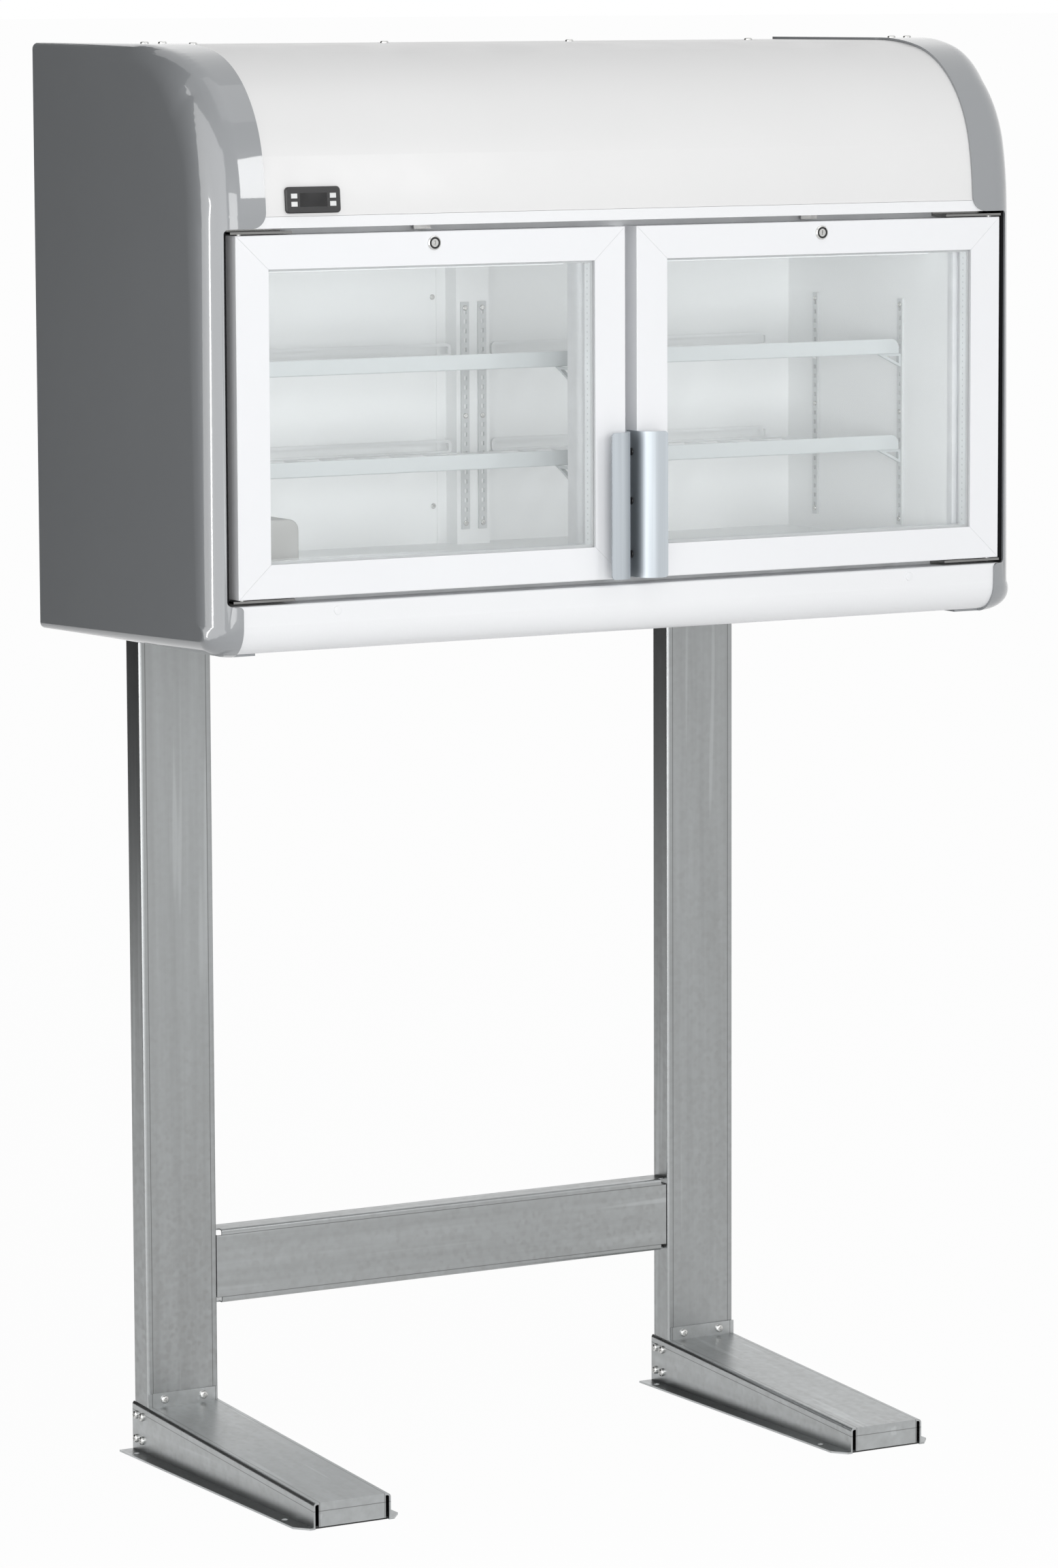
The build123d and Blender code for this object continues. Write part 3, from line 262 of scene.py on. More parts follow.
def round_rim(piece, height, share, segments):
    """In edit mode, round the rim at the top of a disc by a share of its height."""
    choose(piece, "EDGE", lambda edge: all(vert.co.z > 0.9 * height for vert in edge.verts))
    bpy.ops.mesh.bevel(offset=share * height, segments=segments, affect="EDGES")


def smooth(degrees):
    """Shade the active piece smoothly, with edges sharper than an angle left hard."""
    bpy.ops.object.shade_smooth_by_angle(angle=math.radians(degrees))


def soften(piece, width):
    """Round every sharp edge of a piece."""
    activate(piece)
    bpy.ops.object.modifier_add(type="BEVEL")
    rounding = piece.modifiers[-1]
    rounding.width = width
    rounding.segments = 2
    rounding.limit_method = "ANGLE"
    bpy.ops.object.modifier_apply(modifier=rounding.name)
    smooth(40)


def cut_away(piece, cutter):
    """Subtract a cutter from a piece and remove it."""
    activate(piece)
    bpy.ops.object.modifier_add(type="BOOLEAN")
    cut = piece.modifiers[-1]
    cut.operation = "DIFFERENCE"
    cut.solver = "EXACT"
    cut.object = cutter
    bpy.ops.object.modifier_apply(modifier=cut.name)
    bpy.data.objects.remove(cutter)


def copies_in_one(model, places, name):
    """Copy a model to each place and join the copies into one piece."""
    copies = []
    for place in places:
        copy = bpy.data.objects.new(name, model.data.copy())
        bpy.context.collection.objects.link(copy)
        copy.data.transform(place)
        copies.append(copy)
    bpy.data.objects.remove(model)
    activate(copies[0])
    for copy in copies:
        copy.select_set(True)
    bpy.ops.object.join()
    piece = bpy.context.object
    piece.name = name
    return piece


def facing(point, outward):
    """Placing matrix that takes a model's +Z to a direction at a point."""
    z = Vector(outward).normalized()
    x = Vector((0, 0, 1)).cross(z)
    if x.length < 1e-6:
        x = Vector((1, 0, 0))
    x.normalize()
    turn = Matrix((x, z.cross(x), z)).transposed().to_4x4()
    return Matrix.Translation(Vector(point)) @ turn


def islands(node):
    """Boxes of the separate solids in a CAD node, each as its lowest and highest corner."""
    mesh = bmesh.new()
    mesh.from_mesh(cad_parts[node].data)
    bmesh.ops.remove_doubles(mesh, verts=mesh.verts, dist=1e-6)
    seen = set()
    found = []
    for start in mesh.verts:
        if start in seen:
            continue
        seen.add(start)
        group = [start]
        for vert in group:
            for edge in vert.link_edges:
                other = edge.other_vert(vert)
                if other not in seen:
                    seen.add(other)
                    group.append(other)
        low = Vector([min(vert.co[i] for vert in group) for i in range(3)])
        high = Vector([max(vert.co[i] for vert in group) for i in range(3)])
        found.append((low, high))
    mesh.free()
    return found


def seat_of(low, high, side):
    """Seat and outward way of a flat solid: to the front, or to a side if it is thin across."""
    middle = (low + high) / 2
    size = high - low
    if size.y < size.x:
        return Vector((middle.x, high.y, middle.z)), Vector((0, -1, 0))
    return Vector((low.x if side > 0 else high.x, middle.y, middle.z)), Vector((side, 0, 0))


def pan_head(radius, height, recess):
    """A domed screw head on the floor plane, with a cross recess or a round socket."""
    head = disc("screw_head", 24, radius, height)
    bpy.ops.object.mode_set(mode="EDIT")
    round_rim(head, height, 0.7, 4)
    if recess == "socket":
        choose(head, "FACE", lambda f: f.normal.z > 0.9 and f.calc_area() > 0.3 * radius**2)
        bpy.ops.mesh.inset(thickness=0.22 * radius)
        bpy.ops.mesh.extrude_region_move(TRANSFORM_OT_translate={"value": (0, 0, -0.5 * height)})
    bpy.ops.object.mode_set(mode="OBJECT")
    if recess == "cross":
        for turn in (0, math.pi / 2):
            clear_selection()
            bpy.ops.mesh.primitive_cube_add(
                size=1.0,
                location=(0, 0, height),
                rotation=(0, 0, turn),
                scale=(1.1 * radius, 0.24 * radius, 0.9 * height),
            )
            cut_away(head, settle(bpy.context.object, "recess"))
    activate(head)
    smooth(40)
    return head


def dress(piece, body, slot, finish, *replaced):
    """Give a piece its finish and the body that it moves with."""
    piece.data.materials.clear()
    piece.data.materials.append(finish)
    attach(piece, body)
    if replaced:
        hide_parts(*replaced)


# Shader work


def add_node(tree, kind, **settings):
    """A new shader node with its settings."""
    made = tree.nodes.new(kind)
    for key, value in settings.items():
        setattr(made, key, value)
    return made


def feed(tree, source, socket):
    """Link a socket to another node's output, or set its own value."""
    if isinstance(source, bpy.types.NodeSocket):
        tree.links.new(source, socket)
    else:
        socket.default_value = source


def feed_all(tree, node, sources):
    """Feed a node's inputs by their labels."""
    for label, source in sources.items():
        feed(tree, source, node.inputs[label])


def maths(tree, operation, *sources):
    """Result of a math node."""
    made = add_node(tree, "ShaderNodeMath", operation=operation)
    for source, socket in zip(sources, made.inputs):
        feed(tree, source, socket)
    return made.outputs[0]


def remap(tree, value, start, end, low=0.0, high=1.0):
    """A value taken from one range to another and held inside it."""
    made = tree.nodes.new("ShaderNodeMapRange")
    sources = {"Value": value, "From Min": start, "From Max": end, "To Min": low, "To Max": high}
    feed_all(tree, made, sources)
    return made.outputs["Result"]


def span(tree, mask, low, high):
    """Value that goes from low to high with a mask."""
    return remap(tree, mask, 0.0, 1.0, low, high)


def tone(tree, mask, start, finish):
    """Colour that goes from one tone to another with a mask."""
    blend = add_node(tree, "ShaderNodeMix", data_type="RGBA")
    tree.links.new(mask, blend.inputs[0])
    blend.inputs[6].default_value = (*start, 1.0)
    blend.inputs[7].default_value = (*finish, 1.0)
    return blend.outputs[2]


def laid_over(tree, colour, mask, other, amount):
    """A colour with another over it where a mask shows, up to an amount."""
    over = add_node(tree, "ShaderNodeMix", data_type="RGBA")
    tree.links.new(span(tree, mask, 0.0, amount), over.inputs[0])
    tree.links.new(colour, over.inputs[6])
    over.inputs[7].default_value = (*other, 1.0)
    return over.outputs[2]


def relief(tree, shader, height, depth, strength):
    """Drive a shader's normal from a height."""
    bump = tree.nodes.new("ShaderNodeBump")
    feed_all(tree, bump, {"Strength": strength, "Distance": depth, "Height": height})
    tree.links.new(bump.outputs[0], shader.inputs["Normal"])


def mix_surfaces(tree, share, first, second, output):
    """Let the output show one surface or another by a share."""
    mix = tree.nodes.new("ShaderNodeMixShader")
    for source, socket in zip((share, first.outputs[0], second.outputs[0]), mix.inputs):
        tree.links.new(source, socket)
    tree.links.new(mix.outputs[0], tree.nodes[output].inputs["Surface"])


def own_place(tree):
    """The object's own coordinates, taken apart."""
    place = tree.nodes.new("ShaderNodeTexCoord")
    parts = tree.nodes.new("ShaderNodeSeparateXYZ")
    tree.links.new(place.outputs["Object"], parts.inputs[0])
    return parts.outputs


def mirrored_place(tree, axes):
    """The object's own coordinates on some axes, with the left half folded onto the right."""
    parts = own_place(tree)
    spot = tree.nodes.new("ShaderNodeCombineXYZ")
    for axis in axes:
        part = maths(tree, "ABSOLUTE", parts["X"]) if axis == "X" else parts[axis]
        tree.links.new(part, spot.inputs[axis])
    return spot.outputs[0]


def shade(colour, factor):
    """A colour made lighter or darker."""
    return tuple(min(1.0, channel * factor) for channel in colour)


def line_stretch(along):
    """Turn a patch stretch into one for fine lines in the same direction."""
    return tuple(0.03 if part < 1.0 else 1.0 for part in along)


def effect_group(name, output, **inputs):
    """An empty effect group, with what it is given and the socket for its result."""
    tree = bpy.data.node_groups.new(name, "ShaderNodeTree")
    for label, default in inputs.items():
        kind = "NodeSocketFloat" if isinstance(default, float) else "NodeSocketVector"
        socket = tree.interface.new_socket(name=label, in_out="INPUT", socket_type=kind)
        socket.default_value = default
    tree.interface.new_socket(name=output, in_out="OUTPUT", socket_type="NodeSocketFloat")
    given = tree.nodes.new("NodeGroupInput").outputs
    result = tree.nodes.new("NodeGroupOutput").inputs[output]
    return tree, given, result


def stretched(tree, given):
    """The object's coordinates multiplied by the group's Stretch."""
    place = tree.nodes.new("ShaderNodeTexCoord")
    product = add_node(tree, "ShaderNodeVectorMath", operation="MULTIPLY")
    tree.links.new(place.outputs["Object"], product.inputs[0])
    tree.links.new(given["Stretch"], product.inputs[1])
    return product.outputs[0]


def clouds_effect():
    """Soft patches: tone drift, handling marks or drawn lines, by its stretch."""
    tree, given, mask = effect_group(
        "Soft clouds", "Mask", Stretch=(1.0, 1.0, 1.0), Scale=6.0, Detail=3.0, Low=0.35, High=0.65
    )
    noise = tree.nodes.new("ShaderNodeTexNoise")
    sources = {"Vector": stretched(tree, given), "Scale": given["Scale"], "Detail": given["Detail"]}
    feed_all(tree, noise, sources)
    tree.links.new(remap(tree, noise.outputs[0], given["Low"], given["High"]), mask)
    return tree


def spangle_effect():
    """Crystal patches of a zinc coat, each with its own tone."""
    tree, given, result = effect_group("Zinc spangle", "Tone", Stretch=(1.0, 1.0, 1.0), Scale=90.0)
    cells = add_node(tree, "ShaderNodeTexVoronoi", feature="SMOOTH_F1")
    feed_all(tree, cells, {"Vector": stretched(tree, given), "Scale": given["Scale"]})
    grey = tree.nodes.new("ShaderNodeRGBToBW")
    tree.links.new(cells.outputs["Color"], grey.inputs[0])
    tree.links.new(grey.outputs[0], result)
    return tree


def scratches_effect():
    """Sparse hair-thin scratches along one direction."""
    tree, given, mask = effect_group("Hair scratches", "Mask", Stretch=(1.0, 1.0, 1.0), Scale=30.0)
    noise = tree.nodes.new("ShaderNodeTexNoise")
    sources = {"Vector": stretched(tree, given), "Scale": given["Scale"], "Detail": 1.0}
    feed_all(tree, noise, sources)
    tree.links.new(remap(tree, noise.outputs[0], 0.66, 0.72), mask)
    return tree


def folds_effect():
    """A pair of thin lines either side of a centre along an axis, where the sheet folds: painted shade
    of the creases.
    """
    tree, given, mask = effect_group(
        "Fold crease shade", "Mask", Axis=(1.0, 0.0, 0.0), Centre=0.0, Half=0.05
    )
    along = add_node(tree, "ShaderNodeVectorMath", operation="DOT_PRODUCT")
    tree.links.new(mirrored_place(tree, "XYZ"), along.inputs[0])
    tree.links.new(given["Axis"], along.inputs[1])
    centred = maths(tree, "SUBTRACT", along.outputs["Value"], given["Centre"])
    offset = maths(tree, "SUBTRACT", maths(tree, "ABSOLUTE", centred), given["Half"])
    tree.links.new(remap(tree, maths(tree, "ABSOLUTE", offset), *FOLD_LINE_EDGE), mask)
    return tree


def effect(tree, group, **values):
    """Place an effect group in a material with its own values."""
    made = tree.nodes.new("ShaderNodeGroup")
    made.node_tree = group
    feed_all(tree, made, values)
    return made.outputs[0]


def blank(name):
    """A new material, its nodes and its shader."""
    material = bpy.data.materials.new(name)
    material.use_nodes = True
    tree = material.node_tree
    return material, tree, tree.nodes["Principled BSDF"]


class Finishes:
    """Builds the freezer's materials once and hands them out by name."""

    def __init__(self, colours):
        self.colours = colours
        self.clouds = clouds_effect()
        self.spangle = spangle_effect()
        self.scratches = scratches_effect()
        self.folds = folds_effect()

    def cover_plastic(self):
        """Glossy vacuum-formed grey skin with a wavering surface and wiped smears."""
        material, tree, shader = blank("Cover plastic")
        grey = tuple(self.colours.cover_grey)
        drift = effect(tree, self.clouds, Scale=4.0, Detail=2.0)
        smear = effect(
            tree, self.clouds, Stretch=(1.0, 1.0, 0.35), Scale=9.0, Detail=4.0, Low=0.2, High=0.8
        )
        peel = effect(tree, self.clouds, Scale=55.0, Detail=1.0, Low=0.2, High=0.8)
        relief(tree, shader, peel, 0.0004, 0.012)
        sources = {
            "Base Color": tone(tree, drift, grey, shade(grey, 0.97)),
            "Roughness": span(tree, smear, 0.28, 0.31),
            "Specular IOR Level": 0.25,
            "Coat Weight": 1.0,
            "Coat Roughness": 0.04,
        }
        feed_all(tree, shader, sources)
        return material

    def enamel_skin(self, tree, shader, gloss, peel_depth):
        """Rubbed gloss over a fine orange-peel skin."""
        rubbed = effect(tree, self.clouds, Scale=14.0, Detail=4.0)
        tree.links.new(span(tree, rubbed, gloss, gloss + 0.09), shader.inputs["Roughness"])
        peel = effect(tree, self.clouds, Scale=420.0, Detail=1.0, Low=0.25, High=0.75)
        relief(tree, shader, peel, peel_depth, 0.25)

    def paint(self, name, colour, gloss, peel_depth=0.0001):
        """Stove-enamelled sheet with soft tone drift."""
        material, tree, shader = blank(name)
        colour = tuple(colour)
        drift = effect(tree, self.clouds, Scale=2.2, Detail=2.0)
        drifted = tone(tree, drift, colour, shade(colour, 0.972))
        tree.links.new(drifted, shader.inputs["Base Color"])
        self.enamel_skin(tree, shader, gloss, peel_depth)
        return material

    def shelf_coat(self):
        """White powder coat, with the front lip painted greyer as painted shade."""
        material, tree, shader = blank("Shelf powder coat")
        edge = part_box("upper_left_shelf")[0].y
        start, end = SHELF_LIP_SHADE
        depth = remap(tree, own_place(tree)["Y"], edge + start, edge + end)
        coat = tone(tree, depth, self.colours.lip_shaded_white, self.colours.shelf_white)
        tree.links.new(coat, shader.inputs["Base Color"])
        self.enamel_skin(tree, shader, 0.36, 0.00012)
        return material

    def zinc_sheet(self, name, along, folds=(), painted_light_gain=1.0):
        """Galvanised sheet with spangle, rolling lines along it, dull patches and painted crease shade
        along the folds.
        """
        material, tree, shader = blank(name)
        bright = shade(self.colours.zinc, painted_light_gain)
        dull = shade(self.colours.zinc_dark, painted_light_gain)
        lines = line_stretch(along)
        patch = effect(tree, self.clouds, Stretch=along, Scale=2.4, Detail=5.0, Low=0.3, High=0.7)
        flake = effect(tree, self.spangle, Scale=150.0)
        rolled = effect(tree, self.clouds, Stretch=lines, Scale=90.0, Detail=4.0, Low=0.3, High=0.7)
        scored = effect(tree, self.scratches, Stretch=lines, Scale=70.0)
        mixed = maths(tree, "MULTIPLY", patch, flake)
        base = tone(tree, mixed, bright, dull)
        base = laid_over(tree, base, rolled, shade(dull, 0.8), 0.30)
        base = laid_over(tree, base, scored, shade(bright, 1.4), 0.30)
        # Each fold gets a thin dark line: painted shade of the crease.
        for axis, centre, half in folds:
            line = effect(tree, self.folds, Axis=axis, Centre=centre, Half=half)
            base = laid_over(tree, base, line, shade(dull, 0.42), 0.75)
        relief(tree, shader, rolled, 0.0002, 0.08)
        roughness = span(tree, mixed, 0.30, 0.42)
        feed_all(tree, shader, {"Base Color": base, "Roughness": roughness, "Metallic": 1.0})
        return material

    def drawn_metal(self, name, colour, along, low, high):
        """Metal with fine drawn lines in its gloss."""
        material, tree, shader = blank(name)
        colour = tuple(colour)
        lines = effect(tree, self.clouds, Stretch=along, Scale=90.0, Low=0.3, High=0.7)
        relief(tree, shader, lines, 0.0002, 0.06)
        base = tone(tree, lines, colour, shade(colour, 0.86))
        roughness = span(tree, lines, low, high)
        feed_all(tree, shader, {"Base Color": base, "Roughness": roughness, "Metallic": 1.0})
        return material

    def polymer(self, name, colour, low, high, grain, sheen=0.5):
        """Moulded plastic or rubber with a grain of the given scale."""
        material, tree, shader = blank(name)
        colour = tuple(colour)
        drift = effect(tree, self.clouds, Scale=18.0)
        skin = effect(tree, self.clouds, Scale=grain, Detail=2.0, Low=0.25, High=0.75)
        relief(tree, shader, skin, 0.0003, 0.15)
        base = tone(tree, drift, colour, shade(colour, 0.9))
        roughness = span(tree, skin, low, high)
        sources = {"Base Color": base, "Roughness": roughness, "Specular IOR Level": sheen}
        feed_all(tree, shader, sources)
        return material

    def pane_glass(self):
        """Clear float glass that lets the lamps reach what is behind it."""
        material, tree, shader = blank("Pane glass")
        wiped = effect(tree, self.clouds, Stretch=(1.0, 1.0, 0.3), Scale=16.0, Low=0.5, High=0.8)
        sources = {
            "Base Color": (0.993, 0.998, 0.998, 1.0),
            "Roughness": span(tree, wiped, 0.0, 0.03),
            "IOR": 1.5,
            "Transmission Weight": 1.0,
        }
        feed_all(tree, shader, sources)
        clear = tree.nodes.new("ShaderNodeBsdfTransparent")
        clear.inputs["Color"].default_value = (0.994, 0.996, 0.996, 1.0)
        path = tree.nodes.new("ShaderNodeLightPath").outputs
        passing = maths(tree, "MAXIMUM", path["Is Shadow Ray"], path["Is Diffuse Ray"])
        mix_surfaces(tree, passing, shader, clear, "Material Output")
        return material

    def spacer_bar(self):
        """Perforated aluminium spacer with darker sealant along both edges."""
        material, tree, shader = blank("Spacer bar")
        low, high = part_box("right_glass_spacer")
        parts = own_place(tree)
        width = maths(tree, "ABSOLUTE", remap(tree, parts["Y"], low.y, high.y, -1.0, 1.0))
        sealed = remap(tree, width, *SPACER_SEALANT)
        step = maths(tree, "WRAP", parts["Z"], SPACER_HALF_PITCH, -SPACER_HALF_PITCH)
        dotted = remap(tree, maths(tree, "ABSOLUTE", step), *SPACER_HOLE_EDGE)
        holes = maths(tree, "MULTIPLY", dotted, remap(tree, width, *SPACER_HOLE_BAND))
        dark = maths(tree, "MAXIMUM", holes, sealed)
        sources = {
            "Base Color": tone(tree, dark, (0.84, 0.86, 0.87), (0.66, 0.68, 0.69)),
            "Metallic": span(tree, dark, 0.8, 0.0),
            "Roughness": span(tree, dark, 0.35, 0.7),
        }
        feed_all(tree, shader, sources)
        return material

    def lock_face(self):
        """Polished lock body with a black ring between its rim and its plug."""
        material, tree, shader = blank("Lock face")
        low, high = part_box("right_lock_body")
        apart = add_node(tree, "ShaderNodeVectorMath", operation="DISTANCE")
        tree.links.new(mirrored_place(tree, "XZ"), apart.inputs[0])
        apart.inputs[1].default_value = ((low.x + high.x) / 2, 0.0, (low.z + high.z) / 2)
        ring = maths(tree, "COMPARE", apart.outputs["Value"], LOCK_RING_RADIUS, LOCK_RING_HALF)
        sources = {
            "Base Color": tone(tree, ring, self.colours.steel, (0.01, 0.01, 0.01)),
            "Metallic": span(tree, ring, 1.0, 0.0),
            "Roughness": 0.16,
        }
        feed_all(tree, shader, sources)
        return material

    def lamp_cover(self):
        """Opal cover of the ceiling lights, which glows down and back behind its front edge; the front
        edge is painted grey-green as painted shade.
        """
        material, tree, shader = blank("Lamp cover")
        frost = effect(tree, self.clouds, Scale=40.0, Detail=2.0)
        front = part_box("ceiling_lights")[0].y
        start, end = LAMP_FRONT_EDGE
        behind = remap(tree, own_place(tree)["Y"], front + start, front + end)
        sources = {
            # Grey-green on the front edge: painted shade.
            "Base Color": tone(tree, behind, (0.52, 0.57, 0.56), (0.84, 0.87, 0.88)),
            "Roughness": span(tree, frost, 0.4, 0.55),
            "Emission Color": tone(tree, behind, (0.02, 0.02, 0.02), (0.95, 0.98, 1.0)),
            "Emission Strength": 0.6,
        }
        feed_all(tree, shader, sources)
        return material

    def stand_zinc(self):
        """The stand's sheets, each rolled along its own length, with painted crease shade on its folds;
        the feet are painted lighter and the uprights darker, as painted light and shade.
        """
        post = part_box("right_post")
        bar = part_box("cross_bar")
        post_x = (post[0].x + post[1].x) / 2
        post_half = (post[1].x - post[0].x) / 2
        bar_half = (bar[1].z - bar[0].z) / 2
        across = (1.0, 0.0, 0.0)
        upward = (0.0, 0.0, 1.0)
        post_folds = ((across, post_x, post_half - POST_FOLD_INSET),)
        bar_folds = ((upward, bar[0].z + bar_half, bar_half - BAR_FOLD_INSET),)
        foot_folds = (
            (across, post_x, post_half - FOOT_FOLD_INSET),
            (FOOT_WEDGE_AXIS, 0.0, FOOT_WEDGE_HALF),
        )
        return {
            # The uprights' zinc is painted darker and the feet's lighter: painted shade and painted
            # light on copies of one zinc.
            "upright": self.zinc_sheet("Upright zinc", (1.0, 1.0, 0.25), post_folds, 0.94),
            "bar": self.zinc_sheet("Bar zinc", (0.25, 1.0, 1.0), bar_folds),
            "foot": self.zinc_sheet("Foot zinc", (1.0, 0.25, 1.0), foot_folds, 1.12),
        }

    def build(self):
        """Make every finish."""
        tint = self.colours
        sideways = (0.1, 1.0, 1.0)
        upright = (1.0, 1.0, 0.02)
        every_way = (1.0, 1.0, 1.0)
        return self.stand_zinc() | {
            "cover": self.cover_plastic(),
            "canopy": self.paint("Canopy paint", tint.canopy_white, 0.30),
            "fascia": self.paint("Fascia paint", tint.fascia_white, 0.32),
            "door": self.paint("Door powder coat", tint.door_white, 0.38, 0.00015),
            "liner": self.paint("Liner sheet", tint.liner_white, 0.34),
            "strip": self.paint("Strip enamel", (0.74, 0.765, 0.77), 0.36),
            "shelf": self.shelf_coat(),
            "panel": self.zinc_sheet("Rear panel zinc", (0.5, 1.0, 0.5)),
            "handle": self.drawn_metal("Anodised handle", tint.handle_silver, upright, 0.52, 0.64),
            "steel": self.drawn_metal("Polished steel", tint.steel, sideways, 0.14, 0.24),
            # The hinges' steel is darkened to 0.42 of the steel: painted shade.
            "hinge": self.drawn_metal("Hinge steel", shade(tint.steel, 0.42), sideways, 0.12, 0.22),
            "fastener": self.drawn_metal("Plated fastener", tint.steel, every_way, 0.2, 0.34),
            "frame": self.polymer("Frame moulding", tint.frame_white, 0.4, 0.55, 300.0),
            "seal": self.polymer("Door seal", tint.seal_blue, 0.5, 0.7, 220.0),
            "black": self.polymer("Black moulding", tint.black, 0.3, 0.42, 500.0),
            # Black for the door gaps: painted shade.
            "gap_shade": self.polymer("Gap shade black", tint.black, 0.75, 0.9, 500.0, 0.15),
            "window": self.polymer("Display window", shade(tint.black, 0.6), 0.04, 0.08, 30.0),
            "key": self.polymer("Key cap", (0.80, 0.81, 0.81), 0.4, 0.5, 400.0),
            "foam": self.polymer("Rigid foam", (0.62, 0.53, 0.33), 0.8, 0.95, 260.0),
            "probe": self.polymer("Probe cover", (0.48, 0.485, 0.475), 0.4, 0.5, 300.0),
            "glass": self.pane_glass(),
            "spacer": self.spacer_bar(),
            "lamp": self.lamp_cover(),
            "lock": self.lock_face(),
        }


finishes = {}

NODES_BY_FINISH = {
    "cover": ("left_side_cover", "right_side_cover"),
    "canopy": ("canopy", "top_panel"),
    "fascia": ("header_strip", "lower_fascia"),
    "door": ("left_door_frame", "right_door_frame"),
    "liner": ("inner_liner", "centre_column"),
    "probe": ("probe_cover",),
    "shelf": (
        "upper_left_shelf", "upper_right_shelf", "lower_left_shelf", "lower_right_shelf",
        "shelf_brackets",
    ),
    "strip": ("shelf_strips",),
    "frame": ("front_frame",),
    "seal": ("left_door_gasket", "right_door_gasket"),
    "upright": ("left_post", "right_post"),
    "bar": ("cross_bar",),
    "foot": ("left_foot", "right_foot"),
    "panel": (
        "bottom_panel", "rear_panel", "rear_grille", "machine_deck", "condenser", "evaporator",
    ),
    "handle": ("left_handle", "right_handle"),
    "hinge": ("left_hinges", "right_hinges"),
    "steel": ("left_lock_plug", "right_lock_plug"),
    "lock": ("left_lock_body", "right_lock_body"),
    "fastener": ("stand_screws", "hanging_studs", "lock_keepers"),
    "black": ("controller", "compressor", "fan_shroud", "fan_motor", "fan_blade", "control_box"),
    "window": ("controller_window",),
    "key": ("upper_left_button", "upper_right_button", "lower_left_button", "lower_right_button"),
    "foam": ("insulation",),
    "glass": ("left_glass", "right_glass"),
    "spacer": ("left_glass_spacer", "right_glass_spacer"),
    "lamp": ("ceiling_lights",),
}


# Steps


class FREEZER_OT_finish_nodes(bpy.types.Operator):
    """Build every finish and give it to the CAD pieces that keep their shape"""

    bl_idname = "freezer.finish_nodes"
    bl_label = "Finish CAD pieces"

    def execute(self, context):
        finishes.update(Finishes(context.scene.freezer_finishes).build())
        undressed = set(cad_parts)
        for finish, names in NODES_BY_FINISH.items():
            for name in names:
                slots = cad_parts[name].data.materials
                slots.clear()
                slots.append(finishes[finish])
                undressed.discard(name)
        if undressed:
            raise RuntimeError(f"no finish for {sorted(undressed)}")
        return {"FINISHED"}


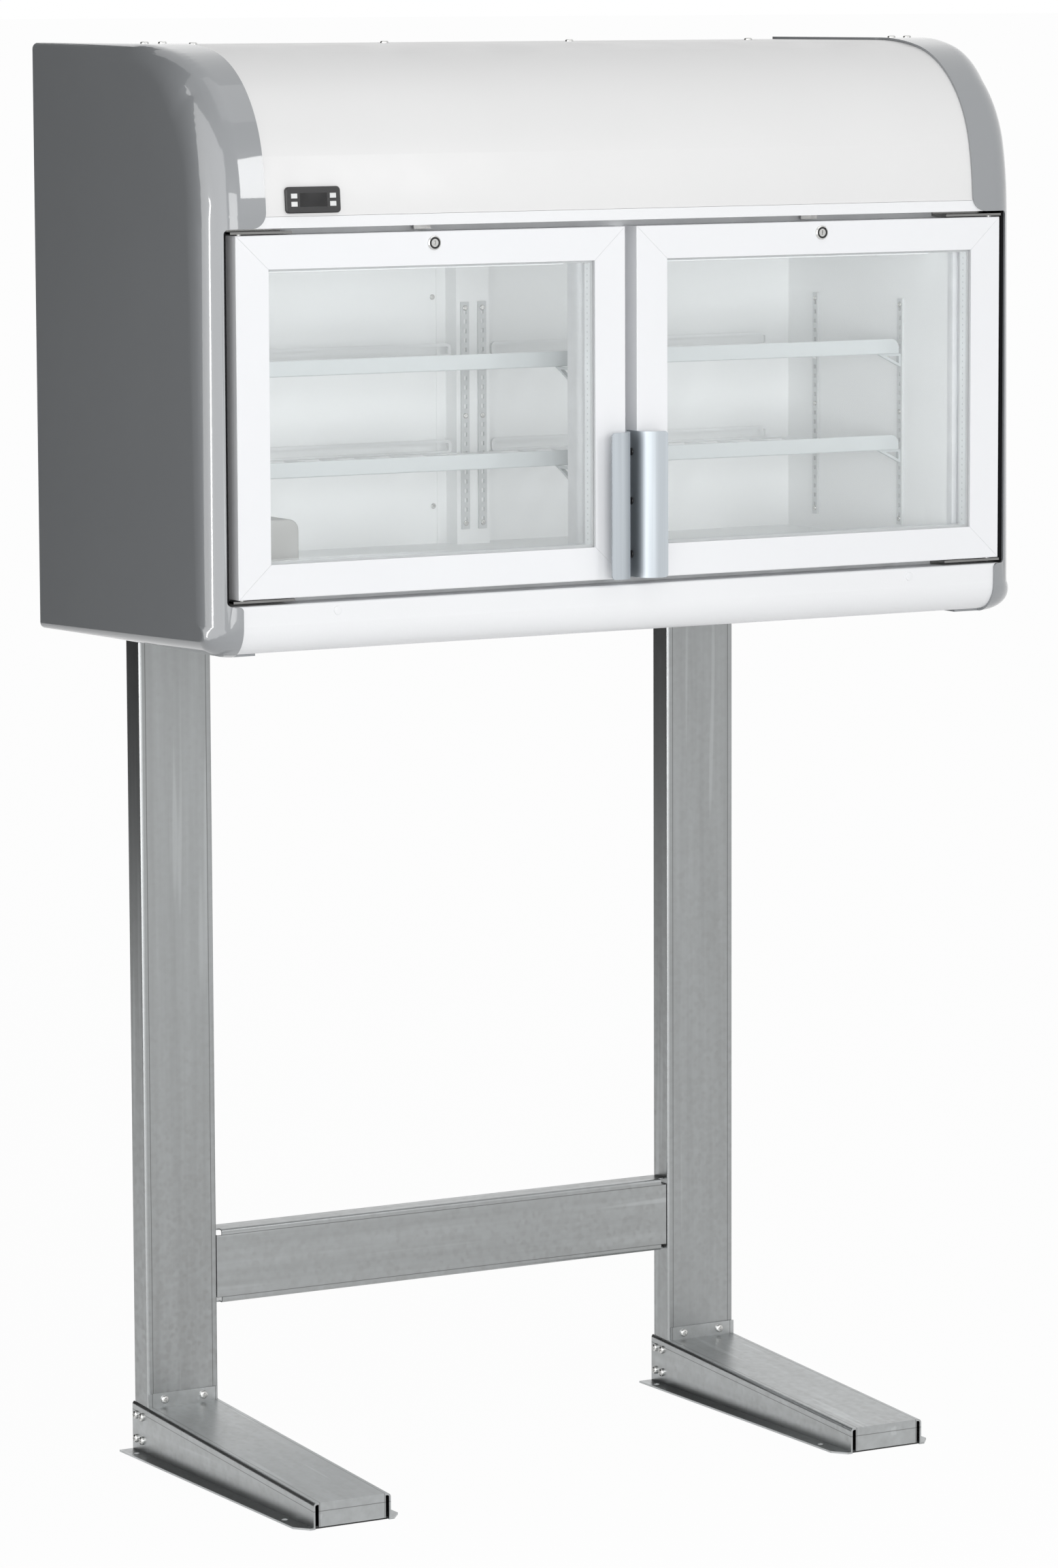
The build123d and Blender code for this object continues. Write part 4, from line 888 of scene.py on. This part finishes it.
class FREEZER_OT_side_covers(bpy.types.Operator):
    """Side covers whose rounding runs far along the side and turns tightly into the front"""

    bl_idname = "freezer.side_covers"
    bl_label = "Side covers"

    def execute(self, context):
        sizes = context.scene.freezer_sizes
        for name in ("left", "right"):
            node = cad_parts[f"{name}_side_cover"]
            shell = bpy.data.objects.new(f"{name}_cover_shell", node.data.copy())
            context.collection.objects.link(shell)
            self.draw_out(shell, sizes)
            self.shade_shell(shell)
            dress(shell, "cabinet", "cover", finishes["cover"], f"{name}_side_cover")
        return {"FINISHED"}

    def draw_out(self, shell, sizes):
        """Give the rounding its own profile at every place along the outline."""
        mesh = bmesh.new()
        mesh.from_mesh(shell.data)
        bmesh.ops.remove_doubles(mesh, verts=mesh.verts, dist=1e-6)
        outer = max((vert.co.x for vert in mesh.verts), key=abs)
        widening = sizes.cover_across - sizes.cover_bend
        for ring in range(COVER_RINGS):
            inset = sizes.cover_bend + widening * (ring + 1) / COVER_RINGS
            bmesh.ops.bisect_plane(
                mesh,
                geom=[*mesh.verts, *mesh.edges, *mesh.faces],
                plane_co=(outer - math.copysign(inset, outer), 0, 0),
                plane_no=(1, 0, 0),
            )
        flat = [Vector((vert.co.y, vert.co.z)) for vert in mesh.verts]
        loop = numpy.array([flat[i] for i in convex_hull_2d(flat)])
        low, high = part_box("left_side_cover")
        held = low.y + COVER_FRONT_HOLD
        for vert, point in zip(mesh.verts, flat):
            depth = abs(outer - vert.co.x)
            if depth < sizes.cover_across:
                foot, inward = self.nearest(numpy.array(point), loop, high.y)
                level = self.ease((foot[1] - sizes.cover_low) / COVER_GROWTH)
                back = 1 - (1 - self.held_share((foot[0] - held) / (high.y - held))) ** 3
                along = self.between(sizes.cover_toe_reach, sizes.cover_reach, level)
                along = self.between(along, sizes.cover_rear, back)
                across = self.between(sizes.cover_across, sizes.cover_rear, back)
                drop = self.profile(depth, across, along)
                drop -= self.profile(depth, sizes.cover_bend, sizes.cover_bend)
                vert.co.y += drop * inward[0]
                vert.co.z += drop * inward[1]
        mesh.to_mesh(shell.data)
        mesh.free()

    def profile(self, depth, across, along):
        """Drop of an elliptic rounding below the outline, at a depth from the side."""
        if depth >= across:
            return 0.0
        return along * (1 - math.sqrt(1 - ((across - depth) / across) ** 2))

    def nearest(self, point, loop, rear):
        """Foot of a point on the outline without its rear side, and the way inwards there."""
        ends = numpy.roll(loop, -1, axis=0)
        open_sides = numpy.minimum(loop[:, 0], ends[:, 0]) < rear - 1e-4
        starts = loop[open_sides]
        runs = ends[open_sides] - starts
        share = numpy.sum((point - starts) * runs, axis=1) / numpy.sum(runs * runs, axis=1)
        feet = starts + numpy.clip(share, 0.0, 1.0)[:, None] * runs
        best = numpy.argmin(numpy.sum((point - feet) ** 2, axis=1))
        inward = numpy.array((-runs[best][1], runs[best][0]))
        inward /= numpy.linalg.norm(inward)
        if inward @ (loop.mean(axis=0) - feet[best]) < 0:
            inward = -inward
        return feet[best], inward

    def held_share(self, share):
        """A share held between nought and one."""
        return min(1.0, max(0.0, share))

    def ease(self, share):
        """A smooth step from nought to one."""
        share = self.held_share(share)
        return share * share * (3 - 2 * share)

    def between(self, start, end, share):
        """A length part of the way from one to another."""
        return start + (end - start) * share

    def shade_shell(self, shell):
        """Shade the shell smoothly with its flat faces left flat."""
        activate(shell)
        if shell.data.has_custom_normals:
            bpy.ops.mesh.customdata_custom_splitnormals_clear()
        smooth(35)
        bpy.ops.object.modifier_add(type="WEIGHTED_NORMAL")
        weighting = shell.modifiers[-1]
        weighting.keep_sharp = True
        bpy.ops.object.modifier_apply(modifier=weighting.name)


class FREEZER_OT_stand_screws(bpy.types.Operator):
    """Domed cross-recess screws in place of the plain ones on the stand"""

    bl_idname = "freezer.stand_screws"
    bl_label = "Stand screws"

    def execute(self, context):
        places = []
        for low, high in islands("stand_screws"):
            middle = (low + high) / 2
            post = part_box("left_post" if middle.x < 0 else "right_post")
            side = 1 if middle.x > (post[0].x + post[1].x) / 2 else -1
            places.append(facing(*seat_of(low, high, side)))
        size = high - low
        head = pan_head(max(size) / 2, min(size), "cross")
        piece = copies_in_one(head, places, "stand_screw_heads")
        dress(piece, "cabinet", "zinc_fastener", finishes["fastener"], "stand_screws")
        return {"FINISHED"}


class FREEZER_OT_roof_screws(bpy.types.Operator):
    """Screws along the roof sheet and on the crowns of the side covers"""

    bl_idname = "freezer.roof_screws"
    bl_label = "Roof screws"

    def execute(self, context):
        sizes = context.scene.freezer_sizes
        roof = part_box("top_panel")[1]
        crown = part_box("left_side_cover")[1]
        points = [(x, roof.y - ROOF_SCREW_FROM_REAR, roof.z) for x in ROOF_SCREW_X]
        for side in (-1, 1):
            for x in CROWN_SCREW_X:
                points.append((side * x, CROWN_SCREW_Y, crown.z - CROWN_SCREW_SINK))
        places = [facing(point, (0, 0, 1)) for point in points]
        head = pan_head(sizes.roof_screw_radius, sizes.roof_screw_height, "cross")
        piece = copies_in_one(head, places, "roof_screws")
        dress(piece, "cabinet", "zinc_fastener", finishes["fastener"])
        return {"FINISHED"}


class FREEZER_OT_fascia_plugs(bpy.types.Operator):
    """Domed plugs that close the fixing holes of the lower fascia"""

    bl_idname = "freezer.fascia_plugs"
    bl_label = "Fascia plugs"

    def execute(self, context):
        sizes = context.scene.freezer_sizes
        radius = sizes.plug_radius
        height = sizes.plug_height
        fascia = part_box("lower_fascia")
        z = fascia[1].z - PLUG_BELOW_TOP
        places = [facing((x, fascia[0].y, z), (0, -1, 0)) for x in PLUG_X]
        plug = disc("plug", 32, radius, height)
        bpy.ops.object.mode_set(mode="EDIT")
        round_rim(plug, height, 0.6, 3)
        choose(plug, "FACE", lambda f: f.normal.z > 0.99 and f.calc_area() > radius**2)
        bpy.ops.mesh.inset(thickness=0.35 * radius)
        bpy.ops.transform.translate(value=(0, 0, 0.25 * height))
        bpy.ops.object.mode_set(mode="OBJECT")
        smooth(50)
        piece = copies_in_one(plug, places, "fascia_plugs")
        dress(piece, "cabinet", "white_sheet", finishes["fascia"])
        return {"FINISHED"}


class FREEZER_OT_handle_screws(bpy.types.Operator):
    """Black socket screws that hold each handle's leg to the door's edge"""

    bl_idname = "freezer.handle_screws"
    bl_label = "Handle screws"

    def execute(self, context):
        sizes = context.scene.freezer_sizes
        for side, name in ((-1, "left"), (1, "right")):
            low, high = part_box(f"{name}_handle")
            face = low.x if side > 0 else high.x
            y = high.y - HANDLE_SCREW_FROM_REAR
            places = [facing((face, y, z), (-side, 0, 0)) for z in HANDLE_SCREW_Z]
            head = pan_head(sizes.handle_screw_radius, sizes.handle_screw_height, "socket")
            piece = copies_in_one(head, places, f"{name}_handle_screws")
            dress(piece, f"{name}_door", "black_plastic", finishes["black"])
        return {"FINISHED"}


class FREEZER_OT_foot_shade_sheets(bpy.types.Operator):
    """Black sheets inside the feet: painted shade that keeps the feet's hollows dark"""

    bl_idname = "freezer.foot_pads"
    bl_label = "Foot shade sheets"

    def execute(self, context):
        thick = context.scene.freezer_sizes.shade_sheet_thickness
        for name in ("left", "right"):
            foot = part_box(f"{name}_foot")
            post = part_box(f"{name}_post")
            low = (post[0].x, foot[0].y + SHADE_SHEET_FRONT_GAP, 0.0)
            high = (post[1].x, post[0].y - SHADE_SHEET_REAR_GAP, thick)
            # A black sheet where the foot's hollow would lie in shade: painted shade.
            shade_sheet = slab(f"{name}_foot_shade_sheet", low, high)
            soften(shade_sheet, thick / 4)
            dress(shade_sheet, "cabinet", "black_plastic", finishes["black"])
        return {"FINISHED"}


class FREEZER_OT_gap_shade_strips(bpy.types.Operator):
    """Black strips in the gap between each door and its side cover: painted shade where the gap lies in
    shadow
    """

    bl_idname = "freezer.gap_trims"
    bl_label = "Gap shade strips"

    def execute(self, context):
        thick = context.scene.freezer_sizes.gap_shade_thickness
        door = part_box("right_door_frame")
        face_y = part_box("front_frame")[0].y
        front_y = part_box("right_side_cover")[0].y + GAP_SHADE_BEHIND_COVER
        flange_y = face_y - thick
        inner_x = GAP_SHADE_LIP_X - thick
        reach = door[1].x + GAP_SHADE_DOOR_GAP - inner_x
        for side, name in ((-1, "left"), (1, "right")):
            near, far = sorted((side * inner_x, side * GAP_SHADE_LIP_X))
            low = (near, front_y, door[0].z - GAP_SHADE_PAST_DOOR)
            high = (far, face_y, door[1].z + GAP_SHADE_PAST_DOOR)
            # A black strip where the gap between door and cover lies in shade: painted shade.
            gap_shade = slab(f"{name}_gap_shade_strip", low, high)
            bpy.ops.object.mode_set(mode="EDIT")
            bpy.ops.mesh.select_all(action="SELECT")
            bpy.ops.mesh.bisect(plane_co=(0, flange_y, 0), plane_no=(0, 1, 0))
            choose(
                gap_shade,
                "FACE",
                lambda f: f.normal.x * side < -0.9 and f.calc_center_median().y > flange_y,
            )
            shift = {"value": (side * reach, 0, 0)}
            bpy.ops.mesh.extrude_region_move(TRANSFORM_OT_translate=shift)
            bpy.ops.mesh.select_all(action="SELECT")
            bpy.ops.mesh.normals_make_consistent(inside=False)
            bpy.ops.object.mode_set(mode="OBJECT")
            soften(gap_shade, thick / 4)
            dress(gap_shade, "cabinet", "seal", finishes["gap_shade"])
        return {"FINISHED"}


class FREEZER_OT_shelf_strips(bpy.types.Operator):
    """Slotted shelf strips with their fixing screws, and two rivets of the rear wall"""

    bl_idname = "freezer.shelf_strips"
    bl_label = "Shelf strips"

    def execute(self, context):
        sizes = context.scene.freezer_sizes
        boxes = islands("shelf_strips")
        thick, wide, tall = sorted(boxes[0][1] - boxes[0][0])
        strip = self.slotted(sizes, thick, wide, tall)
        places = []
        heads = []
        for low, high in boxes:
            side = -1 if low.x + high.x > 0 else 1
            seat, outward = seat_of(low, high, side)
            places.append(facing(seat, outward))
            for rise in STRIP_SCREW_RISES:
                heads.append(facing(seat + thick * outward + Vector((0, 0, rise)), outward))
        piece = copies_in_one(strip, places, "slotted_strips")
        dress(piece, "cabinet", "shelf_white", finishes["strip"], "shelf_strips")
        wall_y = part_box("centre_column")[1].y
        for z in WALL_RIVET_Z:
            heads.append(facing((WALL_RIVET_X, wall_y, z), (0, -1, 0)))
        head = pan_head(sizes.strip_screw_radius, sizes.strip_screw_height, "cross")
        screws = copies_in_one(head, heads, "strip_screws")
        dress(screws, "cabinet", "zinc_fastener", finishes["fastener"])
        return {"FINISHED"}

    def slotted(self, sizes, thick, wide, tall):
        """One strip on the floor plane with its row of slots cut through."""
        strip = slab("strip", (-wide / 2, -tall / 2, 0), (wide / 2, tall / 2, thick))
        start = -sizes.strip_pitch * (sizes.strip_slots - 1) / 2
        clear_selection()
        bpy.ops.mesh.primitive_cube_add(
            size=1.0,
            location=(0, start, 0),
            scale=(STRIP_SLOT_SHARE * wide, sizes.strip_slot, 4 * thick),
        )
        cutter = settle(bpy.context.object, "slots")
        bpy.ops.object.modifier_add(type="ARRAY")
        row = cutter.modifiers[-1]
        row.count = sizes.strip_slots
        row.use_relative_offset = False
        row.use_constant_offset = True
        row.constant_offset_displace = (0, sizes.strip_pitch, 0)
        bpy.ops.object.modifier_apply(modifier=row.name)
        cut_away(strip, cutter)
        return strip


class FREEZER_OT_stage(bpy.types.Operator):
    """Floor, lamps, room light and camera"""

    bl_idname = "freezer.stage"
    bl_label = "Studio"

    def execute(self, context):
        studio = context.scene.freezer_studio
        self.floor()
        soft_boxes = (
            ("Front box", studio.front_power, (-1.2, -4.2, 1.6), (-0.1, 0.0, 1.5), (2.6, 1.4)),
            ("Side strip", studio.side_power, (-2.4, -0.28, 1.33), (-0.6, -0.28, 1.33), (0.15, 0.9)),
            ("Left wall", studio.wall_power, (-3.6, -1.85, 2.0), (-0.6, -1.85, 2.0), (5.6, 4.0)),
            ("Key box", studio.key_power, (1.35, -3.76, 2.65), (-0.55, -0.24, 1.71), (0.42, 0.95)),
            ("Top box", studio.top_power, (0.0, -1.0, 4.4), (0.0, 0.0, 1.6), (2.4, 2.0)),
            ("Inside fill", studio.fill_power, (-0.55, -1.5, 1.33), (0.0, 0.19, 1.32), (2.0, 0.4)),
        )
        lamps = {soft_box[0]: self.lamp(*soft_box) for soft_box in soft_boxes}
        for name in ("Side strip", "Left wall"):
            lamps[name].visible_diffuse = False
        inside = bpy.data.collections.new("Inside fill receivers")
        for name in ("inner_liner", "centre_column"):
            inside.objects.link(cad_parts[name])
        lamps["Inside fill"].light_linking.receiver_collection = inside
        self.flag("side_flag", (-2.8, 0.6, 0.0), (-2.7, 5.0, 6.0))
        self.flag("rear_flag", (-2.7, 5.0, 0.0), (0.2, 5.1, 6.5))
        self.room(context.scene, studio.ambient)
        self.camera(context.scene, studio)
        context.scene.view_settings.view_transform = "Standard"
        return {"FINISHED"}

    def shown(self, tree):
        """One for rays that show the studio: from the camera, in a reflection or through glass."""
        path = tree.nodes.new("ShaderNodeLightPath").outputs
        seen = maths(tree, "MAXIMUM", path["Is Camera Ray"], path["Is Glossy Ray"])
        return maths(tree, "MAXIMUM", seen, path["Is Transmission Ray"])

    def floor(self):
        """A wide floor that shows nearly white and still takes the shadows."""
        clear_selection()
        bpy.ops.mesh.primitive_plane_add(size=FLOOR_SIDE)
        floor = settle(bpy.context.object, "studio_floor")
        material, tree, shader = blank("Studio floor")
        feed_all(tree, shader, {"Base Color": (0.86, 0.86, 0.86, 1.0), "Roughness": 0.8})
        glow = tree.nodes.new("ShaderNodeEmission")
        share = maths(tree, "MULTIPLY", self.shown(tree), FLOOR_WHITE)
        mix_surfaces(tree, share, shader, glow, "Material Output")
        floor.data.materials.append(material)

    def flag(self, name, low, high):
        """A black screen that keeps the room's light off the left cover."""
        screen = slab(name, low, high)
        material, tree, shader = blank("Studio flag")
        feed_all(tree, shader, {"Base Color": (0.02, 0.02, 0.02, 1.0), "Roughness": 1.0})
        screen.data.materials.append(material)
        screen.visible_camera = False
        screen.visible_transmission = False

    def lamp(self, name, power, place, target, size):
        """A soft box of a width and height that points at a target."""
        data = bpy.data.lights.new(name, "AREA")
        data.shape = "RECTANGLE"
        data.size, data.size_y = size
        data.energy = power
        made = bpy.data.objects.new(name, data)
        bpy.context.scene.collection.objects.link(made)
        made.location = place
        toward = Vector(target) - Vector(place)
        made.rotation_euler = toward.to_track_quat("-Z", "Y").to_euler()
        made.visible_camera = False
        return made

    def room(self, scene, ambient):
        """Even light all round, which shows white."""
        world = bpy.data.worlds.new("Studio room")
        scene.world = world
        world.use_nodes = True
        tree = world.node_tree
        even = tree.nodes["Background"]
        white = tree.nodes.new("ShaderNodeBackground")
        for light, strength in ((even, ambient), (white, 1.0)):
            feed_all(tree, light, {"Color": (1.0, 1.0, 1.0, 1.0), "Strength": strength})
        mix_surfaces(tree, self.shown(tree), even, white, "World Output")

    def camera(self, scene, studio):
        """The photo's camera, from its turn, tilt and roll."""
        data = bpy.data.cameras.new("Photo camera")
        data.lens = studio.lens
        data.sensor_width = 36.0
        data.clip_end = 1000.0
        made = bpy.data.objects.new("Photo camera", data)
        scene.collection.objects.link(made)
        turn = studio.camera_turn
        tilt = studio.camera_tilt
        roll = studio.camera_roll
        level = Vector((math.cos(turn), -math.sin(turn), 0.0))
        forward = Vector(
            (math.sin(turn) * math.cos(tilt), math.cos(turn) * math.cos(tilt), math.sin(tilt))
        )
        rolled = math.cos(roll) * level + math.sin(roll) * level.cross(forward)
        axes = Matrix((rolled, rolled.cross(forward), -forward)).transposed().to_4x4()
        made.matrix_world = Matrix.Translation(Vector(studio.camera_place)) @ axes
        scene.camera = made


class FREEZER_PT_dressing(bpy.types.Panel):
    """Sidebar panel with the freezer's settings and steps"""

    bl_label = "Display freezer"
    bl_idname = "FREEZER_PT_dressing"
    bl_space_type = "VIEW_3D"
    bl_region_type = "UI"
    bl_category = "Freezer"

    def draw(self, context):
        layout = self.layout
        scene = context.scene
        for group in (scene.freezer_finishes, scene.freezer_sizes, scene.freezer_studio):
            box = layout.box()
            for name in group.__annotations__:
                box.prop(group, name)
        for step in STEPS:
            layout.operator(step.bl_idname)


STEPS = (
    FREEZER_OT_finish_nodes,
    FREEZER_OT_side_covers,
    FREEZER_OT_stand_screws,
    FREEZER_OT_roof_screws,
    FREEZER_OT_fascia_plugs,
    FREEZER_OT_handle_screws,
    FREEZER_OT_foot_shade_sheets,
    FREEZER_OT_gap_shade_strips,
    FREEZER_OT_shelf_strips,
    FREEZER_OT_stage,
)
CLASSES = (FreezerFinishes, FreezerSizes, FreezerStudio, *STEPS, FREEZER_PT_dressing)


def register():
    for item in CLASSES:
        bpy.utils.register_class(item)
    bpy.types.Scene.freezer_finishes = PointerProperty(type=FreezerFinishes)
    bpy.types.Scene.freezer_sizes = PointerProperty(type=FreezerSizes)
    bpy.types.Scene.freezer_studio = PointerProperty(type=FreezerStudio)


def unregister():
    del bpy.types.Scene.freezer_studio
    del bpy.types.Scene.freezer_sizes
    del bpy.types.Scene.freezer_finishes
    for item in reversed(CLASSES):
        bpy.utils.unregister_class(item)


def main():
    register()
    bpy.ops.freezer.finish_nodes()
    bpy.ops.freezer.side_covers()
    bpy.ops.freezer.stand_screws()
    bpy.ops.freezer.roof_screws()
    bpy.ops.freezer.fascia_plugs()
    bpy.ops.freezer.handle_screws()
    bpy.ops.freezer.foot_pads()
    bpy.ops.freezer.gap_trims()
    bpy.ops.freezer.shelf_strips()
    bpy.ops.freezer.stage()


if __name__ == "__main__":
    main()
